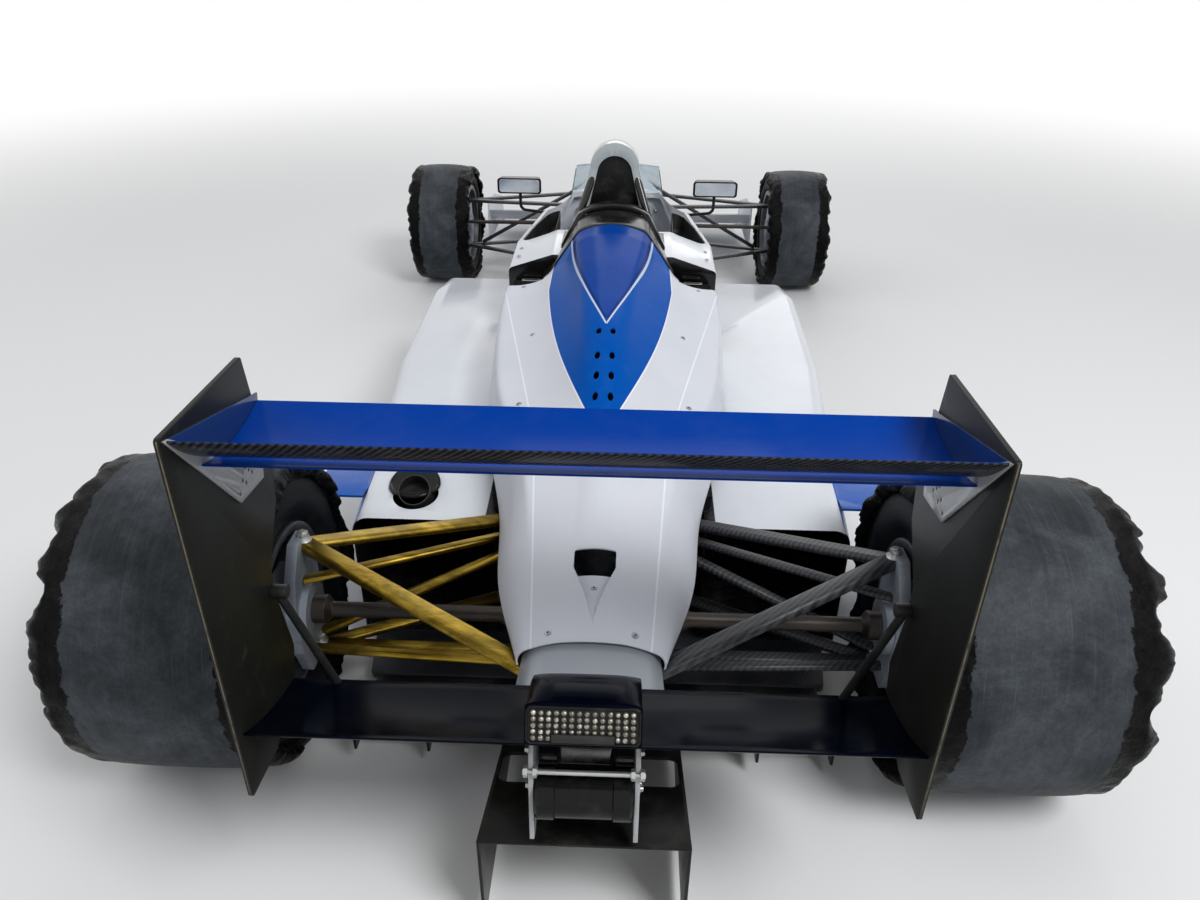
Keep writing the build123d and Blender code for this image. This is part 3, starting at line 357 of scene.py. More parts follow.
def carbonFinish(name, plane, width, rough=0.28, dark=None, pale=None, coat=0.12, turn=None):
    finish = Finish(name)
    spot = finish.place(turn=turn)
    shade, crown = twill(finish, plane, width, spot)
    dust = finish.noise(14.0, 5.0, 0.7).step(0.45, 0.8)
    scuff = finish.noise(160.0, 3.0, 0.6, finish.place((1.0, 0.06, 1.0))).step(0.6, 0.75)
    colour = finish.blend(shade, dark or carbon["dark"], pale or carbon["pale"])
    colour = finish.blend(dust * 0.10 + scuff * 0.10, colour, (128, 124, 116))
    return finish.done({
        "Base Color": colour, "Roughness": rough + dust * 0.18 + scuff * 0.15, "Coat Weight": coat,
        "Coat Roughness": 0.12, "Specular IOR Level": 0.3, "Normal": finish.bump(crown, width * 0.12, 0.35)})


def endplateFinish():
    # satin olive grey laminate with fine streaks and a raw edge at the back
    finish = Finish("endplateSatin")
    x, y, z = finish.parts()
    shade, crown = twill(finish, "yz", 0.0030)
    streak = finish.noise(9.0, 4.0, 0.7, finish.place((1.0, 0.5, 46.0)))
    cloud = finish.noise(4.0, 4.0, 0.6).step(0.3, 0.7)
    colour = finish.blend(shade * 0.35 + streak * 0.65, (10, 11, 9), (34, 36, 31))
    colour = finish.blend(cloud * 0.4, colour, (19, 20, 18))
    middle = 1 - abs(abs(x) - 0.5035).step(0.0006, 0.0014)
    raw = (1 - (y + 2.2185).step(-0.0004, 0.0004)) * middle * finish.noise(40.0).step(0.2, 0.5)
    dust = finish.noise(30.0, 5.0, 0.7).step(0.55, 0.8)
    colour = finish.blend(dust * 0.10, colour, (120, 116, 104))
    return finish.done({
        "Base Color": finish.blend(raw, colour, (104, 96, 80)), "Specular IOR Level": 0.12,
        "Roughness": 0.34 + streak * 0.15 + dust * 0.1 + raw * 0.3, "Coat Weight": 0.05, "Coat Roughness": 0.25,
        "Normal": finish.bump(crown * 0.4 + streak, 0.0002, 0.4)})


def metalFinish(name, dark, pale, rough, metal=1.0, grain=(1, 1, 1), bumpy=0.0003, soil=0.2, scale=30.0):
    # cast, brushed or machined metal: clouds, fine grain and soil in patches
    finish = Finish(name)
    cloud = finish.noise(scale * 0.3, 4.0, 0.6).step(0.3, 0.7)
    fine = finish.noise(scale * 16.0, 3.0, 0.6, finish.place(grain))
    grime = finish.noise(scale, 6.0, 0.7).step(0.52, 0.78)
    colour = finish.blend(cloud * 0.7 + fine * 0.3, dark, pale)
    return finish.done({
        "Base Color": finish.blend(grime * soil, colour, (52, 46, 40)),
        "Metallic": metal - grime * soil * metal, "Roughness": rough + fine * 0.14 + grime * 0.2 - 0.05,
        "Normal": finish.bump(fine + cloud * 0.5, bumpy, 0.4)})


def foilFinish():
    # satin gold heat wrap, lightly creased along the arm
    finish = Finish("goldWrap")
    creases = finish.noise(26.0, 5.0, 0.6, finish.place((0.35, 1.0, 1.0)), 0.6)
    fine = finish.noise(240.0, 3.0, 0.6, finish.place((0.2, 1.0, 1.0)))
    cloud = finish.noise(8.0, 3.0).step(0.3, 0.7)
    seam = finish.noise(5.0, 2.0, 0.5, finish.place((0.5, 2.5, 2.5))).step(0.60, 0.63)
    # the gold goes dark olive in the creases and pale on their crowns: painted shade and painted highlight
    tint = finish.blend(creases.step(0.35, 0.65), (96, 76, 20), (164, 136, 50))
    tint = finish.blend(cloud * 0.4, tint, (126, 110, 54))
    return finish.done({
        "Base Color": finish.blend(seam * 0.3, tint, (70, 54, 16)), "Metallic": 1.0,
        "Roughness": 0.30 + fine * 0.14, "Normal": finish.bump(creases + fine * 0.1, 0.0035, 0.4)})


def pipeFinish():
    # steel tube that has been hot: straw, brown and blue bands
    finish = Finish("heatedSteel")
    x, y, z = finish.parts()
    heat = finish.noise(7.0, 4.0, 0.6) * 0.7 + (y * 1.4 % 1.0) * 0.3
    stops = [(0.25, (96, 84, 74)), (0.42, (140, 104, 66)), (0.55, (92, 76, 96)), (0.7, (128, 120, 112))]
    band = finish.node("ShaderNodeValToRGB", {"stops": stops}, {0: heat})
    soot = finish.noise(40.0, 5.0, 0.7).step(0.5, 0.8) * 0.6
    soot = soot.high(1 - (y - rearAxle[0]).step(0.46, 0.52))  # burnt black at its mouth
    return finish.done({
        "Base Color": finish.blend(soot, band, (12, 12, 12)), "Metallic": 0.85 - soot * 0.85,
        "Roughness": 0.34 + soot * 0.35, "Normal": finish.bump(finish.noise(300.0), 0.0003, 0.3)})


def rubberFinish():
    # worn tread, marbled by streaks round the tyre, and black rubber picked up on its shoulders
    finish = Finish("slickRubber")
    wrap = finish.node("ShaderNodeUVMap", {"uv_map": "wrap"})
    wide = finish.node("ShaderNodeMapping", None, {0: wrap, 3: (1.6, 60.0, 1.0)})
    narrow = finish.node("ShaderNodeMapping", None, {0: wrap, 3: (5.0, 260.0, 1.0)})
    streaks, scratch = finish.noise(1.0, 5.0, 0.65, wide), finish.noise(1.0, 3.0, 0.6, narrow)
    blotch = finish.noise(11.0, 6.0, 0.68, twist=0.6).step(0.36, 0.7)
    grain = finish.noise(520.0, 4.0, 0.7)
    pickup, wall = finish.mark("pickup"), finish.mark("wall")
    mottle = finish.noise(5.0, 8.0, 0.72, twist=0.4).step(0.34, 0.68)
    pores = finish.noise(150.0, 6.0, 0.75).step(0.42, 0.62)
    tread = finish.blend(mottle, (42, 46, 50), (76, 81, 86))
    tread = finish.blend(streaks.step(0.45, 0.75) * 0.22, tread, (98, 103, 108))
    tread = finish.blend(blotch * 0.45, tread, (36, 39, 43))
    tread = finish.blend(pores * 0.22, tread, (28, 30, 33))
    tread = finish.blend(scratch.step(0.60, 0.74) * 0.2, tread, (124, 128, 132))
    wallTint = finish.blend(blotch, (15, 16, 18), (26, 27, 29))
    tar = finish.blend(finish.noise(30.0, 4.0).step(0.4, 0.75), (2, 2, 3), (9, 9, 11))
    edge = (pickup + (finish.noise(26.0, 5.0, 0.7) - 0.5) * 1.1).step(0.42, 0.52)
    colour = finish.blend(edge, finish.blend(wall, tread, wallTint), tar)
    torn = finish.noise(70.0, 5.0, 0.75, twist=1.2)
    height = torn * edge + grain * (1 - edge) * 0.10 + blotch * 0.05 + mottle * 0.04
    wet = finish.noise(34.0, 3.0).step(0.4, 0.65)
    gloss = (0.50 - grain * 0.1) * (1 - edge) + (0.14 + wet * 0.24) * edge
    return finish.done({"Base Color": colour, "Roughness": gloss + blotch * 0.06,
                        "Specular IOR Level": 0.06, "Normal": finish.bump(height, 0.007, 0.6)})


def clothFinish(name, base, pale, plane, width):
    finish = Finish(name)
    shade, crown = twill(finish, plane, width)
    fuzz = finish.noise(900.0, 2.0)
    worn = finish.noise(24.0, 4.0, 0.6).step(0.5, 0.8)
    colour = finish.blend(shade * 0.5 + fuzz * 0.3, base, pale)
    return finish.done({"Base Color": finish.blend(worn * 0.2, colour, (120, 116, 110)), "Roughness": 0.9,
                        "Sheen Weight": 0.25, "Normal": finish.bump(crown + fuzz, width * 0.3, 0.6)})


def plasticFinish(name, base, rough, coat=0.0, texture=0.0003, shine=0.3):
    # moulded or painted black parts: fine texture, finger marks and dust
    finish = Finish(name)
    stipple = finish.noise(700.0, 2.0, 0.5)
    marks = finish.noise(18.0, 5.0, 0.65).step(0.45, 0.75)
    colour = finish.blend(marks * 0.07 + stipple * 0.04, base, (150, 148, 142))
    return finish.done({"Base Color": colour, "Roughness": rough + marks * 0.14, "Coat Weight": coat,
                        "Coat Roughness": 0.08, "Specular IOR Level": shine,
                        "Normal": finish.bump(stipple, texture, 0.35)})


def glassFinish(name, tint, rough, transmit):
    finish = Finish(name)
    haze = finish.noise(12.0, 4.0, 0.6).step(0.45, 0.8)
    scratch = finish.noise(240.0, 2.0, 0.5, finish.place((0.04, 1.0, 1.0))).step(0.64, 0.7)
    return finish.done({"Base Color": finish.blend(haze * 0.10 + scratch * 0.1, tint, (210, 212, 214)),
                        "Roughness": rough + haze * 0.08 + scratch * 0.1, "Transmission Weight": transmit,
                        "IOR": 1.49, "Normal": finish.bump(haze, 0.0002, 0.1)})


def lampFinish():
    # clear domes speckled with painted glints, bright patches fading to darker ones, with a dark bar across the lower
    # middle rows
    finish = Finish("ledDomes")
    x, y, z = finish.parts()
    bar = (1 - abs(x).step(0.0475, 0.0485)) * (z < 0.5335)
    glint = finish.node("ShaderNodeTexVoronoi", None, {"Vector": finish.place(), "Scale": 95.0})
    tint = finish.blend(glint.step(0.1, 0.6), (196, 192, 178), (104, 100, 90))
    return finish.done({"Base Color": finish.blend(bar * 0.75, tint, (40, 38, 36)), "Metallic": 0.45,
                        "Roughness": 0.18 + glint * 0.2, "Coat Weight": 0.5, "Coat Roughness": 0.05})


def fastenerFinish():
    finish = Finish("fastenerSteel")
    # recess marks the thin disc that stands for each socket's hole; it is painted near-black as the hole's painted
    # shade
    recess = finish.mark("recess")
    fine = finish.noise(900.0, 3.0)
    colour = finish.blend(fine, (120, 122, 126), (170, 172, 176))
    return finish.done({"Base Color": finish.blend(recess, colour, (14, 14, 15)), "Metallic": 1.0 - recess,
                        "Roughness": 0.26 + fine * 0.2, "Normal": finish.bump(fine, 0.0002, 0.3)})


finishes = {
    "pearl": paintFinish("pearlWhite", surroundColours),
    "cover": paintFinish("coverPaint", coverColours, 0.05, 0.012, 0.0),
    "tailHood": paintFinish("tailHood", (150, 156, 163), 0.1, 0.25, 0.1),
    "frontPlate": paintFinish("frontPlates", frontPlateColours, 0.05, 0.03, 0.0),
    "pod": paintFinish("podPaint", podColours, 0.15, 0.2, 0.1),
    "nose": paintFinish("nosePaint", noseColours, 0.12, 0.2, 0.08),
    "blue": paintFinish("bluePaint", paints["wingBlue"], 0.03, 0.015, 0.0),
    "flap": paintFinish("flapPaint", flapColours, 0.03, 0.015, 0.0),
    "navy": paintFinish("navyPaint", paints["navy"], 0.01, 0.025, 0.0),
    "white": paintFinish("whitePaint", paints["white"], 0.12, 0.2, 0.08),
    "floorCarbon": carbonFinish("floorCarbon", "xy", carbon["tow"], 0.34),
    "plateCarbon": carbonFinish("plateCarbon", "yz", carbon["tow"], 0.3),
    "armCarbon": carbonFinish("armCarbon", "xy", 0.0036, 0.34, (17, 18, 20), (58, 60, 65), 0.0),
    "seatCarbon": carbonFinish("seatCarbon", "xz", carbon["tow"], 0.4),
    "endplate": endplateFinish(),
    "gold": foilFinish(),
    "pipe": pipeFinish(),
    "hoop": paintFinish("hoopPaint", hoopColours),
    "gearbox": paintFinish("gearboxCase", gearboxColours, 0.5, 0.3, 0.0),
    "alloy": metalFinish("castAlloy", (104, 106, 108), (146, 148, 148), 0.46, 0.7, bumpy=0.0008, soil=0.4),
    "steel": metalFinish("darkSteel", (26, 24, 23), (56, 49, 44), 0.40, 0.6, (0.05, 1, 1), soil=0.4),
    "bracket": metalFinish("silverBracket", (150, 152, 152), (196, 198, 198), 0.36, 0.75, soil=0.3),
    "crash": paintFinish("crashBox", crashColours, 0.3, 0.3, 0.0),
    "upright": metalFinish("paleUpright", (112, 119, 130), (156, 163, 173), 0.40, 0.35, soil=0.3),
    "rim": metalFinish("rimAlloy", (60, 62, 66), (96, 98, 102), 0.34, 0.8, soil=0.35),
    "ribs": paintFinish("ribPlate", ribColours, 0.1, 0.5, 0.0),
    "suede": clothFinish("suedeGrip", (26, 26, 28), (52, 52, 54), "xz", 0.0012),
    "webbing": clothFinish("harnessWebbing", (30, 56, 122), (56, 84, 150), "xy", 0.0016),
    "padding": clothFinish("headPadding", (22, 22, 24), (48, 48, 50), "xz", 0.0020),
    "rubber": rubberFinish(),
    "screen": glassFinish("tintedScreen", (206, 218, 224), 0.04, 0.95),
    "mirror": metalFinish("mirrorGlass", (190, 196, 200), (214, 218, 222), 0.08, 1.0, bumpy=0.0001, soil=0.05),
    "lamp": lampFinish(),
    "gloss": plasticFinish("glossBlack", (6, 7, 9), 0.16, 0.0, 0.0001, 0.14),
    "plate": plasticFinish("diffuserPlate", (10, 10, 11), 0.30, 0.0, 0.0002, 0.10),
    "black": plasticFinish("mouldedBlack", (24, 25, 27), 0.5),
    "fastener": fastenerFinish(),
    "thread": clothFinish("paleThread", (120, 122, 126), (168, 170, 174), "xz", 0.0008),
    "red": plasticFinish("redPlastic", (150, 22, 18), 0.35),
    "yellow": plasticFinish("yellowPlastic", (186, 150, 30), 0.35),
    "blueKnob": plasticFinish("bluePlastic", (20, 62, 150), 0.35),
    "display": plasticFinish("displayGlass", (34, 40, 38), 0.12, 0.1, 0.00005),
    "nut": metalFinish("wheelNut", (128, 130, 134), (176, 178, 182), 0.32, 0.9, bumpy=0.0002, soil=0.3),
    "disc": metalFinish("brakeDisc", (84, 84, 86), (132, 130, 128), 0.3, 0.9, (1, 0.4, 0.4), soil=0.5),
    "caliper": metalFinish("caliperAlloy", (58, 60, 64), (92, 94, 98), 0.42, 0.6, soil=0.4),
    "soot": plasticFinish("pipeSoot", (8, 8, 8), 0.8),
}
print("finishes made")


def meshOf(name, build):
    mesh = bpy.data.meshes.new(name)
    build.to_mesh(mesh)
    build.free()
    return mesh


def plainMesh(name, build):
    # a bmesh without doubled points, its faces turned outward
    bmesh.ops.remove_doubles(build, verts=build.verts, dist=1e-5)
    bmesh.ops.recalc_face_normals(build, faces=build.faces)
    return meshOf(name, build)


def makePiece(name, build, finish, angle=35, standsFor=(), body="chassis"):
    return addPiece(name, plainMesh(name, build), finish, angle, standsFor, body)


def addPiece(name, mesh, finish, angle=35, standsFor=(), body="chassis"):
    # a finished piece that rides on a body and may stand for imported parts
    mesh.name = name
    mesh.polygons.foreach_set("use_smooth", [True] * len(mesh.polygons))
    mesh.set_sharp_from_angle(angle=math.radians(angle))
    mesh.materials.clear()
    mesh.materials.append(finishes[finish])
    piece = inScene(name, mesh)
    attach(piece, body)
    if standsFor:
        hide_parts(*standsFor)
    return piece


def settled(holder):
    # the plain mesh that an object's modifiers make of it, which then goes
    bpy.context.view_layer.update()
    done = bpy.data.meshes.new_from_object(holder.evaluated_get(bpy.context.evaluated_depsgraph_get()))
    bpy.data.objects.remove(holder)
    return done


def withModifiers(mesh, modifiers):
    holder = inScene("holder", mesh)
    for kind, settings in modifiers:
        added = holder.modifiers.new(kind.lower(), kind)
        for key, value in settings.items():
            setattr(added, key, value)
    return settled(holder)


def bevelled(width, segments=2, angle=32):
    return ("BEVEL", {"width": width, "segments": segments, "limit_method": "ANGLE",
                      "angle_limit": math.radians(angle), "use_clamp_overlap": True})


def softEdges(node, width, finish, angle=32):
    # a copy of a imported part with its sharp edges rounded
    build = bmesh.new()
    build.from_mesh(frame["nodes"][node].data)
    bmesh.ops.remove_doubles(build, verts=build.verts, dist=2e-6)
    bmesh.ops.dissolve_limit(build, angle_limit=math.radians(0.6), verts=build.verts, edges=build.edges)
    # a concave face on a thin rim would fold over its opening once it is bevelled
    bmesh.ops.connect_verts_concave(build, faces=build.faces)
    done = withModifiers(meshOf(node, build), [bevelled(width, 2, angle)])
    return addPiece(node + "_skin", done, finish, 30, (node,), bodyOf[node])


def strip(build, rows, closed=False):
    # quads between rows of points that have the same count
    rings = [[build.verts.new(point) for point in row] for row in rows]
    for first, second in zip(rings, rings[1:]):
        count = len(first)
        for i in range(count if closed else count - 1):
            j = (i + 1) % count
            build.faces.new((first[i], first[j], second[j], second[i]))
    return rings


def solidStrip(build, rows):
    # a closed strip with a face at both ends
    rings = strip(build, rows, True)
    build.faces.new(rings[0])
    build.faces.new(rings[-1])


def joinEnds(build, rings):
    # the last row of a ring joined to its first
    first, last = rings[0], rings[-1]
    for i in range(len(first)):
        j = (i + 1) % len(first)
        build.faces.new((last[i], last[j], first[j], first[i]))


def circle(count):
    # equal steps round a circle
    return [(math.cos(2 * math.pi * k / count), math.sin(2 * math.pi * k / count)) for k in range(count)]


def tube(build, path, radius, sides=16, capped=True):
    # a round bar along a line of points, or a ring where the line ends at its start
    points = [Vector(p) for p in path]
    ring = (points[0] - points[-1]).length < 1e-4
    if ring:
        points.pop()
    last = len(points) - 1
    rows, previous = [], None
    for i, point in enumerate(points):
        after = points[(i + 1) % len(points) if ring else min(i + 1, last)]
        before = points[i - 1 if ring else max(i - 1, 0)]
        ahead = (after - before).normalized()
        seed = previous or ahead.orthogonal()
        first = (seed - ahead * seed.dot(ahead)).normalized()
        second = ahead.cross(first)
        previous = first
        rows.append([point + (first * c + second * s) * radius for c, s in circle(sides)])
    if capped and not ring:
        return solidStrip(build, rows)
    rings = strip(build, rows, True)
    if ring:
        joinEnds(build, rings)


def turned(build, centre, axis, profile, sides=48):
    # a profile of (along, radius) turned about an axis, closed at both ends
    centre, axis = Vector(centre), Vector(axis).normalized()
    side = axis.orthogonal().normalized()
    other = axis.cross(side)
    solidStrip(build, [[centre + axis * along + (side * c + other * s) * radius for c, s in circle(sides)]
                       for along, radius in profile])


def slab(build, outline, axis, start, end):
    # a flat outline in the two other directions, given thickness along x, y or z
    place = "xyz".index(axis)
    solidStrip(build, [[(*flat[:place], level, *flat[place:]) for flat in outline] for level in (start, end)])


def onFace(face, x, up, out):
    # a place on a leaning face: across, up it and out of it
    origin, rise = face
    return origin + Vector((x, 0, 0)) + rise * up + Vector((0, -rise.z, rise.y)) * out


def roundedOutline(halfWide, halfHigh, radius, centre=(0, 0), steps=6):
    points = []
    for corner, (sx, sy) in enumerate(((1, 1), (-1, 1), (-1, -1), (1, -1))):
        for k in range(steps + 1):
            turn = math.pi / 2 * (corner + k / steps)
            points.append((centre[0] + sx * (halfWide - radius) + radius * math.cos(turn),
                           centre[1] + sy * (halfHigh - radius) + radius * math.sin(turn)))
    return points


def bevelPiece(name, build, finish, width, segments=1, standsFor=(), angle=32, body="chassis"):
    done = withModifiers(plainMesh(name, build), [bevelled(width, segments, angle)])
    return addPiece(name, done, finish, 30, standsFor, body)


def facePiece(name, finish, face, outline, low, high, width, segments=1, body="chassis"):
    # a plate on a leaning face, from low to high above it
    build = bmesh.new()
    solidStrip(build, [[onFace(face, x, up, out) for x, up in outline] for out in (low, high)])
    bevelPiece(name, build, finish, width, segments, body=body)


def shellPiece(name, rows, finish, wall, edge):
    # a sheet between rows of points, given its wall inward
    build = bmesh.new()
    strip(build, rows)
    wallUp = ("SOLIDIFY", {"thickness": wall, "offset": -1.0})
    done = withModifiers(meshOf(name, build), [wallUp, bevelled(edge, 2, 50)])
    return addPiece(name, done, finish, 38)


def cutBy(mesh, cutter, before, after, corners=None):
    # a mesh less the cutter's solids, and the cutter's own mesh
    bmesh.ops.recalc_face_normals(cutter, faces=cutter.faces)
    solid = meshOf("cutter", cutter)
    if corners:
        solid = withModifiers(solid, [corners])
    holder = inScene("cutter", solid)
    cut = ("BOOLEAN", {"operation": "DIFFERENCE", "object": holder, "solver": "EXACT"})
    done = withModifiers(mesh, [before, cut, after])
    bpy.data.objects.remove(holder)
    return done, solid


def mergedCopy(node):
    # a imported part's faces joined, and the modifier that takes out its flat edges
    build = bmesh.new()
    build.from_mesh(frame["nodes"][node].data)
    dissolve = ("DECIMATE", {"decimate_type": "DISSOLVE", "angle_limit": math.radians(0.6)})
    return plainMesh(node, build), dissolve


# parts whose shape stays, with rounded edges: part, edge in metres, finish
kept = (
    ("monocoque", 0.006, "nose"), ("nose_cone", 0.001, "nose"),
    ("sidepod_left", 0.0018, "pod"), ("sidepod_right", 0.0018, "pod"), ("roll_hoop", 0.006, "hoop"),
    ("engine_block", 0.010, "alloy"), ("gearbox", 0.004, "gearbox"), ("exhaust", 0.001, "pipe"),
    ("floor", 0.002, "floorCarbon"), ("rear_endplate_left", 0.0016, "endplate"),
    ("rear_endplate_right", 0.0016, "endplate"), ("wing_end_ribs", 0.0005, "ribs"), ("beam_wing", 0.0010, "navy"),
    ("crash_structure", 0.0015, "crash"), ("wing_stays", 0.001, "black"), ("rear_suspension_left", 0.002, "gold"),
    ("rear_suspension_right", 0.002, "armCarbon"), ("rear_uprights", 0.004, "upright"),
    ("front_suspension", 0.001, "armCarbon"), ("mirrors", 0.002, "gloss"), ("front_wing_main", 0.001, "white"),
    ("front_wing_flaps", 0.0008, "white"), ("front_endplates", 0.0014, "frontPlate"), ("seat", 0.004, "seatCarbon"),
    ("windscreen", 0.0005, "screen"), ("steering_wheel", 0.0037, "suede"), ("steering_rack", 0.001, "steel"),
    ("front_upright_left", 0.003, "upright"), ("front_upright_right", 0.003, "upright"),
    ("rim_front_left", 0.0013, "rim"), ("rim_front_right", 0.0013, "rim"), ("rim_rear_left", 0.0015, "rim"),
    ("rim_rear_right", 0.0015, "rim"), ("half_shaft_left", 0.001, "steel"), ("half_shaft_right", 0.001, "steel"),
)
for node, width, finish in kept:
    softEdges(node, width, finish)
print("packed parts softened")


cover = {"wall": 0.003, "stations": 96, "points": 88, "outlet": (-0.047, 0.040, 0.0195, 0.004),
         "holes": (0.368, 0.431, 0.496, 0.587), "holeAcross": 0.017, "holeSize": (0.0065, 0.013),
         "dimpleTip": -0.190, "dimpleDepth": 0.024, "edge": 0.0006}
# ahead, spine z, edge half, edge z, valley half, valley z, shoulder half, shoulder z, foot half, foot z
coverRows = (
    (-0.222, 0.449, 0.060, 0.445, 0.092, 0.436, 0.112, 0.428, 0.134, 0.388),
    (0.0, 0.520, 0.044, 0.512, 0.092, 0.497, 0.132, 0.478, 0.196, 0.388),
    (0.222, 0.590, 0.040, 0.578, 0.100, 0.560, 0.165, 0.545, 0.222, 0.404),
    (0.5605, 0.700, 0.052, 0.682, 0.128, 0.612, 0.262, 0.560, 0.292, 0.405),
    (0.9003, 0.742, 0.074, 0.724, 0.172, 0.622, 0.305, 0.580, 0.322, 0.405),
    (1.180, 0.764, 0.104, 0.738, 0.190, 0.628, 0.318, 0.598, 0.330, 0.405),
)
domeRows = ((1.180, 0.764, 0.104, 0.738, 0.205, 0.600), (1.4037, 0.770, 0.104, 0.745, 0.158, 0.645))


def between(rows, at):
    # every column of a table, curved smoothly between its rows
    i = max(k for k in range(len(rows) - 1) if rows[k][0] <= at + 1e-9)
    span = rows[i + 1][0] - rows[i][0]
    t = min(1.0, (at - rows[i][0]) / span)
    values = []
    for column in range(1, len(rows[0])):
        slopes = []
        for k in (i, i + 1):
            low, high = rows[max(k - 1, 0)], rows[min(k + 1, len(rows) - 1)]
            slopes.append((high[column] - low[column]) / (high[0] - low[0]))
        a, b = rows[i][column], rows[i + 1][column]
        cubic = ((2 * t - 3) * t * t + 1) * a + (3 - 2 * t) * t * t * b
        values.append(cubic + ((t - 2) * t + 1) * t * span * slopes[0] + (t - 1) * t * t * span * slopes[1])
    return values


def arc(first, middle, last, steps):
    # points on the circle through three points
    (ax, ay), (bx, by), (cx, cy) = first, middle, last
    d = 2 * (ax * (by - cy) + bx * (cy - ay) + cx * (ay - by))
    if abs(d) < 1e-9:
        return [(ax + (cx - ax) * k / steps, ay + (cy - ay) * k / steps) for k in range(steps)]
    a2, b2, c2 = ax * ax + ay * ay, bx * bx + by * by, cx * cx + cy * cy
    ux = (a2 * (by - cy) + b2 * (cy - ay) + c2 * (ay - by)) / d
    uy = (a2 * (cx - bx) + b2 * (ax - cx) + c2 * (bx - ax)) / d
    turns = [math.atan2(y - uy, x - ux) for x, y in (first, middle, last)]
    forward = (turns[1] - turns[0]) % (2 * math.pi) < (turns[2] - turns[0]) % (2 * math.pi)
    sweep = (turns[2] - turns[0]) % (2 * math.pi) - (0 if forward else 2 * math.pi)
    radius = math.hypot(ax - ux, ay - uy)
    steps = [turns[0] + sweep * k / steps for k in range(steps)]
    return [(ux + radius * math.cos(turn), uy + radius * math.sin(turn)) for turn in steps]


def evenly(line, count):
    # a line cut into equal lengths
    lengths = [0.0]
    for a, b in zip(line, line[1:]):
        lengths.append(lengths[-1] + math.dist(a, b))
    done, j = [], 0
    for k in range(count):
        want = lengths[-1] * k / (count - 1)
        while j < len(line) - 2 and lengths[j + 1] < want:
            j += 1
        share = (want - lengths[j]) / max(lengths[j + 1] - lengths[j], 1e-12)
        done.append(tuple(a + (b - a) * share for a, b in zip(line[j], line[j + 1])))
    return done


def eased(line, rounds, held=()):
    # corners of a line rounded off, its ends and held points left
    for _ in range(rounds):
        line = [p if k in (0, len(line) - 1) or k in held else
                tuple((a + 2 * m + b) / 4 for a, m, b in zip(line[k - 1], p, line[k + 1]))
                for k, p in enumerate(line)]
    return line


def mirrored(half):
    return [(-x, z) for x, z in reversed(half)] + half[1:]


def coverSection(at):
    spine, edge, edgeZ, valley, valleyZ, shoulder, shoulderZ, foot, footZ = between(coverRows, at)
    bow = ((shoulder + foot) / 2 + 0.007, (shoulderZ + footZ) / 2 + 0.007)
    half = arc((0, spine), (edge * 0.5, spine - (spine - edgeZ) * 0.25), (edge, edgeZ), 8)
    half += arc((edge, edgeZ), (valley, valleyZ), (shoulder, shoulderZ), 20)
    half += arc((shoulder, shoulderZ), bow, (foot, footZ), 14) + [(foot, footZ)]
    return mirrored(eased(evenly(half, cover["points"]), 5))


def domeSection(at):
    # the raised spine ahead of the shoulders: it leaves the cover's own section smoothly
    first = [(x, z) for x, z in coverSection(domeRows[0][0]) if abs(x) <= domeRows[0][4]]
    top, edge, edgeZ, foot, footZ = between(domeRows, at)
    half = arc((0, top), (edge * 0.5, top - (top - edgeZ) * 0.25), (edge, edgeZ), 8) + [(edge, edgeZ), (foot, footZ)]
    half = eased(evenly(half, (len(first) + 1) // 2), 5)
    share = min(1.0, (at - domeRows[0][0]) / 0.09)
    share = share * share * (3 - 2 * share)
    line = mirrored(half)
    return [(a + (c - a) * share, b + (d - b) * share) for (a, b), (c, d) in zip(first, line)]


def dimple(x, ahead):
    # the hollow that runs back from the outlet to a point
    start = cover["outlet"][0] - cover["outlet"][2]
    share = (ahead - cover["dimpleTip"]) / (start - cover["dimpleTip"])
    if not 0.0 < share <= 1.25:
        return 0.0
    half = cover["outlet"][1] * min(share, 1.0) ** 1.4
    inside = max(0.0, 1 - abs(x) / max(half, 0.002))
    return cover["dimpleDepth"] * min(1.0, inside * 6.0) * min(1.0, share * 1.3)


def makeCover():
    build = bmesh.new()
    stations = sorted({round(v, 5) for v in
                       [-0.222 + 1.402 * k / cover["stations"] for k in range(cover["stations"] + 1)]
                       + [-0.200 + 0.0045 * k for k in range(32)]})
    rows = [[fromAxle(x, at, z - dimple(x, at)) for x, z in coverSection(at)] for at in stations]
    strip(build, rows)
    steps = [domeRows[0][0] + (domeRows[1][0] - domeRows[0][0]) * k / 24 for k in range(25)]
    strip(build, [[fromAxle(x, at, z) for x, z in domeSection(at)] for at in steps])
    bmesh.ops.remove_doubles(build, verts=build.verts, dist=2e-5)
    bmesh.ops.recalc_face_normals(build, faces=build.faces)
    if sum(face.normal.z * face.calc_area() for face in build.faces) < 0:
        bmesh.ops.reverse_faces(build, faces=build.faces)
    mesh = meshOf("coverSkin", build)
    cutter = bmesh.new()
    at, halfWide, halfLong, radius = cover["outlet"]
    slab(cutter, roundedOutline(halfWide, halfLong, radius, (0, rearAxle[0] + at)), "z", 0.46, 0.60)
    for at in cover["holes"]:
        for sign in (-1, 1):
            oval = [(sign * cover["holeAcross"] + cover["holeSize"][0] * c,
                     rearAxle[0] + at + cover["holeSize"][1] * s) for c, s in circle(24)]
            slab(cutter, oval, "z", 0.50, 0.80)
    wall = ("SOLIDIFY", {"thickness": cover["wall"], "offset": -1.0, "use_rim": True})
    done = cutBy(mesh, cutter, wall, bevelled(cover["edge"], 2, 50))[0]
    addPiece("engine_cover_skin", done, "cover", 38, ("engine_cover",))


apron = {"start": 1.262, "end": 1.506, "lift": 0.0035, "wall": 0.002, "narrow": 0.80}


